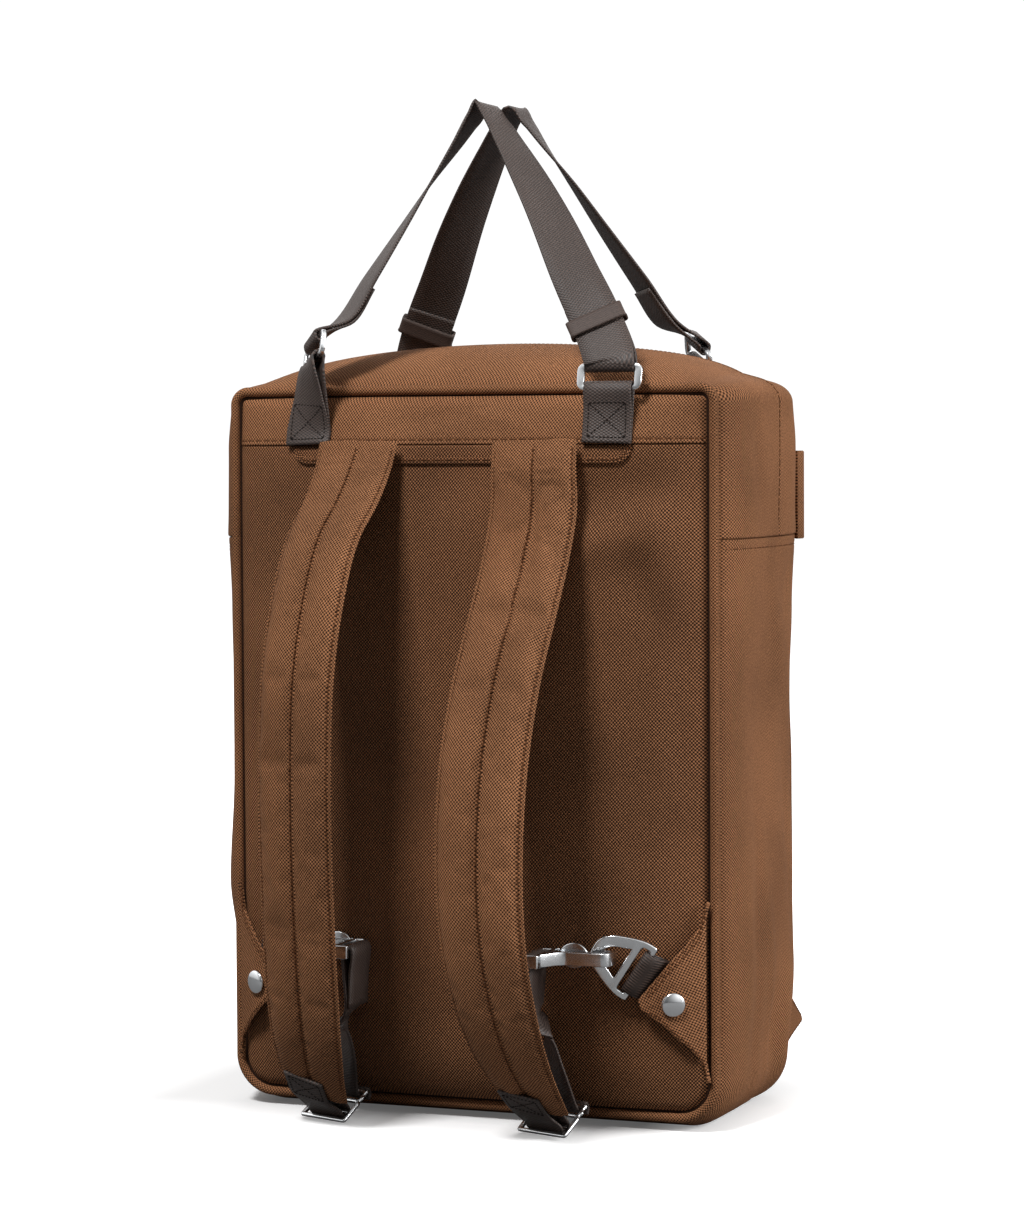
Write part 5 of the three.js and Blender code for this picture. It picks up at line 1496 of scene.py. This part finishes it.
class BACKPACK_OT_front_trim(bpy.types.Operator):
    """Make the folded loop and the tab that show past the front seam."""

    bl_idname = "backpack.front_trim"
    bl_label = "Front trim"

    def execute(self, context):
        canvas = material_named(CANVAS_PAINTED_LIGHTER)
        height = (LOOP_HIGH - LOOP_LOW) * SEAM_TOP
        z = (LOOP_HIGH + LOOP_LOW) / 2 * SEAM_TOP
        x = HALF + CLOTH / 2 + 0.4
        y = DEPTH / 2 + seam_wave(z)
        strip = [row((x + a, y + b, z), (0, 0, 1), height, CLOTH) for a, b in LOOP_BENDS]
        place(ribbon("front_loop", course(strip, 8)), canvas, ("front_loop",))
        tab = FRONT_TAB
        s = crowded(0, 1, 30)[:, None]
        t = crowded(0, 1, 30)[None, :]
        low_z, high_z, tip_z = (tab[key] * SEAM_TOP for key in ("low", "high", "tip"))
        base_z = low_z + (high_z - low_z) * t
        base_y = DEPTH / 2 + seam_wave(base_z)
        tip_y = DEPTH / 2 + seam_wave(tip_z) + tab["reach"]
        grid_z = base_z * (1 - s) + (tip_z - TIP_HALF + 2 * TIP_HALF * t) * s
        grid_y = base_y * (1 - s) + tip_y * s
        waves = TAB_WAVE[0] * np.sin(s * TAB_WAVE[1]) * (t - 0.5)
        grid_x = HALF + 1 + TAB_CLOTH + waves * s
        points = np.stack(np.broadcast_arrays(grid_x, grid_y, grid_z), -1)
        sheet = cloth_sheet("front_tab", points, points[..., [1, 2]], vec(1, 0, 0), TAB_CLOTH)
        place(sheet, canvas, ("front_tab",))
        inset = points[2:-3, [3, -4]]
        rows = [(inset[:, i] + vec(0.1, 0, 0), np.tile(vec(1, 0, 0), (len(inset), 1))) for i in (0, 1)]
        stitching("trim_stitching", rows, material_named(THREAD))
        return {"FINISHED"}


# Metal


def rounded(corners, radii, steps=7):
    """A closed outline with its corners rounded by a quadratic curve from one side to the next."""
    corners = np.array(corners, dtype=float)
    before, after = np.roll(corners, 1, axis=0), np.roll(corners, -1, axis=0)
    radii = np.broadcast_to(np.asarray(radii, dtype=float), (len(corners),))[:, None]
    start = corners + unit(before - corners) * radii
    end = corners + unit(after - corners) * radii
    s = np.linspace(0, 1, steps)[None, :, None]
    start, corners, end = start[:, None], corners[:, None], end[:, None]
    return ((1 - s) ** 2 * start + 2 * s * (1 - s) * corners + s ** 2 * end).reshape(-1, 2)


def clockwise(loop):
    """Whether a flat outline runs clockwise: the sign of its area."""
    after = np.roll(loop, -1, axis=0)
    return (loop[:, 0] * after[:, 1] - after[:, 0] * loop[:, 1]).sum() < 0


def plate(loops, thick, bevel, middle, across, up):
    """Points and faces of a plate with holes, set in the plane of two directions round its middle.
    Each outline, the outer one first, goes through the thickness along quarter circles at both
    edges, and both faces are filled between the outlines."""
    across, up = unit(vec(*across)), unit(vec(*up))
    bevel = min(bevel, thick * 0.42)
    bend = np.linspace(0, np.pi / 2, 4)
    inset = bevel * (1 - np.sin(bend))
    height = thick / 2 - bevel * (1 - np.cos(bend))
    inset, height = np.append(inset, inset[::-1]), np.append(height, -height[::-1])
    points, faces, caps, start = [], [], ([], []), 0
    for number, loop in enumerate(loops):
        if clockwise(loop) == (number == 0):
            loop = loop[::-1]
        along = unit(np.roll(loop, -1, axis=0) - np.roll(loop, 1, axis=0))
        outward = np.stack([along[:, 1], -along[:, 0]], -1)
        flat = loop[None] - outward[None] * inset[:, None, None]
        made = (vec(*middle) + flat[..., :1] * across + flat[..., 1:] * up
                + height[:, None, None] * np.cross(across, up))
        points.append(made.reshape(-1, 3))
        faces += [[start + v for v in face] for face in grid_faces(len(inset), len(loop), wrap=True)]
        for cap, first in zip(caps, (0, len(inset) - 1)):
            cap.append((flat[first], start + first * len(loop)))
        start += made.size // 3
    for cap in caps:
        ids = np.concatenate([first + np.arange(len(loop)) for loop, first in cap])
        for triangle in tessellate_polygon([[Vector((x, y, 0)) for x, y in loop] for loop, _ in cap]):
            faces.append([int(ids[v]) for v in triangle])
    return np.concatenate(points), faces


def solid(name, parts, angle=38):
    """One object from the points and faces of several closed parts, smooth up to an angle."""
    points, faces, start = [], [], 0
    for made, ring in parts:
        points.append(made)
        faces += [[start + v for v in face] for face in ring]
        start += len(made)
    obj = new_object(name, np.concatenate(points), faces)
    outwards(obj)
    obj.data.set_sharp_from_angle(angle=math.radians(angle))
    return obj


def mirrored_outline(half, radii):
    """A closed outline from one half, mirrored in its first coordinate."""
    both = [*half, *[(-p, q) for p, q in reversed(half)]]
    return rounded(both, [*radii, *reversed(radii)])


CORNER_EDGE = ([(16.4, 9.3), (16.6, 3.1), (14.6, -4), (9.8, -15), (4.6, -19.4)], [1.8, 3, 4, 3.5, 3.5])
CORNER_SLOT = ([(13.8, 6.9), (13.8, 2)], [1.2, 1.8])
CORNER_WINDOW = ([(10.4, -2.2), (8.6, -5.5), (5.8, -12.5), (2.6, -15.3)], [1.6, 2, 2.4, 2.2])
CORNER_THICK = 3
CORNER_BEVEL = 0.8
CORNER_GROW = (1.05, 1.0, 0.93)


# Snap hook, drawn from above for the right side: places of its eye, bar and gate
HOOK_HEIGHT = 7.4
HOOK_REACH = HALF - 47.2
SHANK_Y = EYE_Y + 4.4
GATE_Y = EYE_Y + 16.4
GATE_END = HOOK_REACH - 13
SHANK_THICK = 3.3
GATE_THICK = 2.2
EYE_SLOT = (2.5, 7.3, 13)
EYE_SIZE = (9.8, 30.5)
PIVOT_X = HOOK_EYE + 9
LUG_RADIUS = 2.3
LUG_THICK = 1
# Half height of the gate's arm, and its thumb disc: half width, half height and place past the pivot
ARM_HALF = 2.4
THUMB, THUMB_PLACE = (8.2, 7), 10
# The gate's barrel between the lugs: how much slimmer than they are, and its height
BARREL_SLIM, BARREL_HEIGHT = 0.4, 4.8


def disc(radius_x, radius_y, x=0.0, y=0.0, count=40):
    """A flat ellipse outline."""
    turn = np.linspace(0, 2 * np.pi, count, endpoint=False)
    return np.stack([x + radius_x * np.cos(turn), y + radius_y * np.sin(turn)], -1)


def box_outline(x0, x1, y0, y1, radius, steps=7):
    """A flat rectangle outline with rounded corners."""
    return rounded([(x0, y0), (x1, y0), (x1, y1), (x0, y1)], radius, steps)


class BACKPACK_OT_metal(bpy.types.Operator):
    """Make the rings, snap hooks, gates, ladder buckles and rivets."""

    bl_idname = "backpack.metal"
    bl_label = "Hardware"

    def execute(self, context):
        bevel = context.scene.backpack_sizes.bevel
        metal = material_named(METAL)
        for name, side in SIDES.items():
            bar, pull, at = corner_axes(side)
            outlines = zip((CORNER_EDGE, CORNER_SLOT, CORNER_WINDOW), CORNER_GROW)
            loops = [mirrored_outline(*outline) * grow for outline, grow in outlines]
            made = plate(loops, CORNER_THICK, CORNER_BEVEL, at(0, 0), bar, pull)
            place(solid(f"corner_ring_{name}_finished", [made]), metal, (f"corner_ring_{name}",))
            self.hook(name, side, metal, bevel)
            self.buckle(name, metal, bevel)
            self.rivet(name, side)
        for place_name, spec in HANDLES.items():
            for side, spot in ((spec["keeper"], KEEPER_RING), (spec["slider"], SLIDER_RING)):
                outer = box_outline(-RING_LENGTH / 2, RING_LENGTH / 2, -RING_HEIGHT / 2, RING_HEIGHT / 2,
                                    RING_CORNER)
                inner_x, inner_y = RING_LENGTH / 2 - RING_SIDE, RING_HEIGHT / 2 - BAR
                inner = box_outline(-inner_x, inner_x, -inner_y, inner_y, 1.5)
                node = f"handle_ring_{place_name}_{side}"
                made = plate([outer, inner], BAR, RING_BEVEL, spot["middle"], spot["wide"], spot["up"])
                ring = turned(solid(node + "_finished", [made]), spec["turn"])
                place(ring, metal, (node,))
        return {"FINISHED"}

    def hook(self, name, side, metal, bevel):
        """A hook cut from plate, with its eye, neck, bar and returned tip, and its sprung gate."""
        flip = vec(side, 1)

        def level(loops, thick, z=0.0):
            loops = [loop * flip for loop in loops]
            return plate(loops, thick, bevel, (0, 0, HOOK_Z + z), (1, 0, 0), (0, 1, 0))

        def upright(loops, thick, y):
            loops = [loop * flip for loop in loops]
            return plate(loops, thick, bevel, (0, y, HOOK_Z), (1, 0, 0), (0, 0, 1))

        def eye_outline(x0, x1, half, radius):
            return box_outline(HOOK_EYE + x0, HOOK_EYE + x1, EYE_Y - half, EYE_Y + half, radius)
        eye = eye_outline(0, EYE_SIZE[0], EYE_SIZE[1] / 2, 1.2)
        slot = eye_outline(*EYE_SLOT, 0.8)
        front, back = SHANK_Y - SHANK_THICK / 2, SHANK_Y + SHANK_THICK / 2
        tip = GATE_Y + GATE_THICK / 2
        root = HOOK_EYE + EYE_SIZE[0] - 1
        # The bar from its root in the eye along its front, round the end and back inside
        inner, mouth = HOOK_REACH - SHANK_THICK, GATE_END + 0.5
        bar = rounded([(root, EYE_Y - 12), (root + 8, front), (HOOK_REACH, front), (HOOK_REACH, tip),
                       (mouth, tip), (mouth, tip - GATE_THICK), (inner, tip - GATE_THICK),
                       (inner, back), (root + 6, back), (root, EYE_Y + 9)],
                      [0.5, 4, 4.5, 1.5, 0.6, 0.6, 0.8, 2, 3, 0.5])
        high = HOOK_HEIGHT / 2 - LUG_THICK / 2
        lugs = [level([disc(LUG_RADIUS, LUG_RADIUS, PIVOT_X, GATE_Y)], LUG_THICK, z) for z in (-high, high)]
        parts = [level([eye, slot], HOOK_HEIGHT), level([bar], HOOK_HEIGHT), *lugs]
        place(solid(f"hook_{name}_finished", parts, 50), metal, (f"hook_{name}",))
        arm = box_outline(PIVOT_X, GATE_END, -ARM_HALF, ARM_HALF, 0.8)
        thumb = disc(*THUMB, PIVOT_X + THUMB_PLACE)
        barrel = disc(LUG_RADIUS - BARREL_SLIM, LUG_RADIUS - BARREL_SLIM, PIVOT_X, GATE_Y)
        parts = [upright([arm], GATE_THICK, GATE_Y), upright([thumb], GATE_THICK, GATE_Y),
                 level([barrel], BARREL_HEIGHT)]
        gate = solid(f"gate_{name}_finished", parts, 50)
        place(gate, metal, (f"gate_{name}",), f"gate_{name}")

    def buckle(self, name, metal, bevel):
        """A flat frame with four bars, its sides notched by two scallops."""
        _, wide, along, _, bars = buckle_spot(name)
        length = BUCKLE_BARS[3] + BUCKLE_BAR / 2
        half = length / 2
        edge = BUCKLE_WIDTH / 2
        side = [(edge, -half), (edge, 2), (edge - SCALLOP, 4.2), (edge, 6.4), (edge - SCALLOP, 8.6),
                (edge - 1, half)]
        loops = [mirrored_outline(side, [2, 0.6, 1.4, 1, 1.4, 1])]
        for low, high in zip(BUCKLE_BARS, BUCKLE_BARS[1:]):
            low, high = low + BUCKLE_BAR / 2 - half, high - BUCKLE_BAR / 2 - half
            loops.append(box_outline(-BUCKLE_SLOT / 2, BUCKLE_SLOT / 2, low, high, 0.6, 4))
        middle = bars[0] + along * (half - BUCKLE_BARS[0])
        node = f"ladder_buckle_{name}"
        made = plate(loops, BUCKLE_SHEET, bevel, middle, wide, along)
        place(solid(node + "_finished", [made]), metal, (node,))

    def rivet(self, name, side):
        """A dome: a profile of radius and height turned round the tab's normal."""
        x, z = side * RIVET_X * HALF, RIVET_Z * SEAM_TOP
        reach = RIVET_RADIUS * 0.6
        slope_x = (tab_skin(x + reach, z) - tab_skin(x - reach, z)) / (2 * reach)
        slope_z = (tab_skin(x, z + reach) - tab_skin(x, z - reach)) / (2 * reach)
        normal = unit(vec(slope_x, -1, slope_z))
        seat = vec(x, tab_skin(x, z) - TAB_CLOTH, z) + normal * 0.2
        flat = unit(np.cross(normal, vec(0, 0, 1)))
        up = np.cross(flat, normal)
        rise = np.linspace(0, np.pi / 2, 14)
        radius = np.concatenate([[0.02, 0.96, 1.0], np.cos(rise[:-1]), [0.02]]) * RIVET_RADIUS
        height = np.concatenate([[0, 0, 0.12], 0.2 + 0.8 * np.sin(rise[:-1]), [1.0]]) * RIVET_RISE
        turn = np.linspace(0, 2 * np.pi, 64, endpoint=False)
        rings = (seat + normal * height[:, None, None]
                 + flat * (radius[:, None] * np.cos(turn))[..., None]
                 + up * (radius[:, None] * np.sin(turn))[..., None])
        dome = tube(f"rivet_{name}_finished", rings, None)
        place(dome, material_named(POLISHED), (f"rivet_{name}",))


# Stage

CAMERA_PLACE = (737.3, -1880.5, 376.2)
CAMERA_TURN = 21.403
CAMERA_DIP = 2.84
CAMERA_ROLL = -0.328
LENS = 104.49


def look_from(place_mm, turn, dip, roll_degrees):
    """World matrix of a camera at a place: turned from +Y towards -X, dipped and rolled."""
    a, b, c = (math.radians(v) for v in (turn, dip, roll_degrees))
    forward = vec(-math.sin(a) * math.cos(b), math.cos(a) * math.cos(b), -math.sin(b))
    level = vec(math.cos(a), math.sin(a), 0)
    upright = np.cross(level, forward)
    right = math.cos(c) * level + math.sin(c) * upright
    up = np.cross(right, forward)
    matrix = Matrix.Identity(4)
    for i, column in enumerate((right, up, -forward, vec(*place_mm) * MM)):
        for j in range(3):
            matrix[j][i] = column[j]
    return matrix


# Soft boxes: place and target in metres, size in metres, power in watts
LIGHTS = {
    "key": ((-0.3, -1.76, 2.62), (0, 0, 0.25), 0.6, 78),
    "fill": ((2.4, 0.25, 1.1), (0, 0, 0.25), 1.0, 54),
    "top": ((0.2, 0.1, 2.2), (0, 0, 0.3), 1.4, 1.5),
    "rear": ((-0.6, 2.0, 1.4), (0, 0, 0.3), 1.2, 8),
}


# The paper glows towards the camera only, so that it reads as white: painted light. The glow is least
# at the bag's foot and more so on its left, a painted contact shadow, and whole from GLOW_FAR metres
# on. For the bag the paper counts as grey, because little of its light came back on it.
GLOW_FAR = 0.13
GLOW_RANGE = (0.1, 1.05)
GLOW_ASIDE = 0.045
FLOOR_BOUNCE = (0.2, 0.2, 0.2, 1.0)
# Slight unevenness of the paper, half the floor's side in millimetres, and how far it lies below
# the base so that the two don't flicker
PAPER_SHADE = (0.99, 1.01)
FLOOR_HALF, FLOOR_DROP = 9000, 0.2
# The room's light: strength from the level of the floor up to overhead, and where the camera sees it
SKY_RISE, SKY_LIGHT, BACKDROP = (-0.2, 0.9), (0.03, 0.25), 1.05
# How many times brighter the room is where metal mirrors it, ahead and to both sides: white
# cards stood beside the hardware and the dark room lay behind the camera
MIRRORED = (1.5, 9.0)
# Square of the sideways share of a direction from which the sides' cards are all that shows
MIRRORED_FROM = 0.6


class BACKPACK_OT_stage(bpy.types.Operator):
    """Make the floor, the studio light and the camera."""

    bl_idname = "backpack.stage"
    bl_label = "Stage"

    def execute(self, context):
        scene = context.scene
        material, tree, shader = new_material("Glowing paper floor")
        grain = add_node(tree, "ShaderNodeTexNoise", {"Scale": 40.0})
        value = add_node(tree, "ShaderNodeMapRange", {"Value": grain.outputs["Fac"],
                                                      "To Min": PAPER_SHADE[0], "To Max": PAPER_SHADE[1]})
        tint = add_node(tree, "ShaderNodeHueSaturation", {"Value": value.outputs[0],
                                                          "Color": scene.backpack_colours.floor})
        seen = add_node(tree, "ShaderNodeLightPath").outputs["Is Camera Ray"]
        base = add_node(tree, "ShaderNodeMix", {"Factor": seen, 6: FLOOR_BOUNCE, 7: tint.outputs[0]},
                        data_type="RGBA")
        tree.links.new(base.outputs[2], shader.inputs["Base Color"])
        shader.inputs["Roughness"].default_value = 0.9
        place_in = add_node(tree, "ShaderNodeTexCoord").outputs["Object"]
        # Less glow near the bag's foot, reaching further out on its left: a painted contact shadow
        aside = add_node(tree, "ShaderNodeVectorMath", {0: place_in, 1: (GLOW_ASIDE, 0, 0)}, operation="ADD")
        folded = add_node(tree, "ShaderNodeVectorMath", {0: aside.outputs[0]}, operation="ABSOLUTE")
        foot = (HALF * MM, DEPTH / 2 * MM, 1)
        past = add_node(tree, "ShaderNodeVectorMath", {0: folded.outputs[0], 1: foot}, operation="SUBTRACT")
        past = add_node(tree, "ShaderNodeVectorMath", {0: past.outputs[0], 1: (0, 0, 0)}, operation="MAXIMUM")
        far = add_node(tree, "ShaderNodeVectorMath", {0: past.outputs[0]}, operation="LENGTH")
        level = add_node(tree, "ShaderNodeMapRange", {"Value": far.outputs["Value"],
                                                      "From Min": 0.0, "From Max": GLOW_FAR,
                                                      "To Min": GLOW_RANGE[0], "To Max": GLOW_RANGE[1]})
        glow = add_node(tree, "ShaderNodeMath", {0: seen, 1: level.outputs[0]}, operation="MULTIPLY")
        tree.links.new(glow.outputs[0], shader.inputs["Emission Strength"])
        shader.inputs["Emission Color"].default_value = scene.backpack_colours.floor
        s = np.linspace(-FLOOR_HALF, FLOOR_HALF, 19)
        x, y = np.meshgrid(s, s)
        floor = new_object("floor", np.stack([x, y, 0 * x - FLOOR_DROP], -1), grid_faces(len(s), len(s)))
        floor.data.materials.append(material)

        world = bpy.data.worlds.new("Studio")
        world.use_nodes = True
        tree = world.node_tree
        tree.nodes.clear()
        direction = add_node(tree, "ShaderNodeTexCoord").outputs["Generated"]
        split = add_node(tree, "ShaderNodeSeparateXYZ", {0: direction})
        glow = add_node(tree, "ShaderNodeMapRange", {"Value": split.outputs["Z"],
                                                     "From Min": SKY_RISE[0], "From Max": SKY_RISE[1],
                                                     "To Min": SKY_LIGHT[0], "To Max": SKY_LIGHT[1]})
        seen = add_node(tree, "ShaderNodeLightPath").outputs["Is Camera Ray"]
        shiny = add_node(tree, "ShaderNodeLightPath").outputs["Is Glossy Ray"]
        aside = add_node(tree, "ShaderNodeMath", {0: split.outputs["X"], 1: split.outputs["X"]},
                         operation="MULTIPLY")
        cards = add_node(tree, "ShaderNodeMapRange", {"Value": aside.outputs[0], "From Max": MIRRORED_FROM,
                                                      "To Min": MIRRORED[0], "To Max": MIRRORED[1]})
        mirrored = add_node(tree, "ShaderNodeMath", {0: glow.outputs[0], 1: cards.outputs[0]},
                            operation="MULTIPLY")
        strength = add_node(tree, "ShaderNodeMix", {"Factor": shiny, 2: glow.outputs[0],
                                                    3: mirrored.outputs[0]})
        strength = add_node(tree, "ShaderNodeMix", {"Factor": seen, 2: strength.outputs[0], 3: BACKDROP})
        light = add_node(tree, "ShaderNodeBackground", {"Color": (1, 1, 1, 1),
                                                        "Strength": strength.outputs[0]})
        out = add_node(tree, "ShaderNodeOutputWorld")
        tree.links.new(light.outputs[0], out.inputs[0])
        scene.world = world

        for name, (place_m, target, size, power) in LIGHTS.items():
            lamp = bpy.data.lights.new(name, "AREA")
            lamp.shape, lamp.size, lamp.energy = "SQUARE", size, power
            holder = bpy.data.objects.new(name, lamp)
            scene.collection.objects.link(holder)
            holder.location = place_m
            holder.rotation_euler = (Vector(target) - Vector(place_m)).to_track_quat("-Z", "Y").to_euler()

        lens = bpy.data.cameras.new("Camera")
        lens.lens, lens.sensor_width, lens.clip_end = LENS, 36, 50
        camera = bpy.data.objects.new("Camera", lens)
        scene.collection.objects.link(camera)
        camera.matrix_world = look_from(CAMERA_PLACE, CAMERA_TURN, CAMERA_DIP, CAMERA_ROLL)
        scene.camera = camera
        scene.view_settings.view_transform = "Standard"
        return {"FINISHED"}


OPERATORS = (
    BACKPACK_OT_materials, BACKPACK_OT_stage, BACKPACK_OT_panels, BACKPACK_OT_gussets,
    BACKPACK_OT_seams, BACKPACK_OT_patch, BACKPACK_OT_straps, BACKPACK_OT_webbing,
    BACKPACK_OT_handles, BACKPACK_OT_corner_tabs, BACKPACK_OT_front_trim, BACKPACK_OT_metal,
)


class BACKPACK_PT_panel(bpy.types.Panel):
    """Lists the backpack's operators and settings."""

    bl_idname = "BACKPACK_PT_panel"
    bl_label = "Backpack"
    bl_space_type = "VIEW_3D"
    bl_region_type = "UI"
    bl_category = "Backpack"

    def draw(self, context):
        layout = self.layout
        for group in (context.scene.backpack_sizes, context.scene.backpack_colours):
            for name in group.__annotations__:
                layout.prop(group, name)
        for operator in OPERATORS:
            layout.operator(operator.bl_idname)


CLASSES = (BackpackSizes, BackpackColours, *OPERATORS, BACKPACK_PT_panel)


def register():
    """Registers the classes and the scene's settings."""
    for each in CLASSES:
        bpy.utils.register_class(each)
    bpy.types.Scene.backpack_sizes = PointerProperty(type=BackpackSizes)
    bpy.types.Scene.backpack_colours = PointerProperty(type=BackpackColours)


def unregister():
    """Takes the settings and the classes out again."""
    del bpy.types.Scene.backpack_colours
    del bpy.types.Scene.backpack_sizes
    for each in reversed(CLASSES):
        bpy.utils.unregister_class(each)


def main():
    """Makes every piece in order."""
    register()
    for operator in OPERATORS:
        group, name = operator.bl_idname.split(".")
        getattr(getattr(bpy.ops, group), name)()


if __name__ == "__main__":
    main()
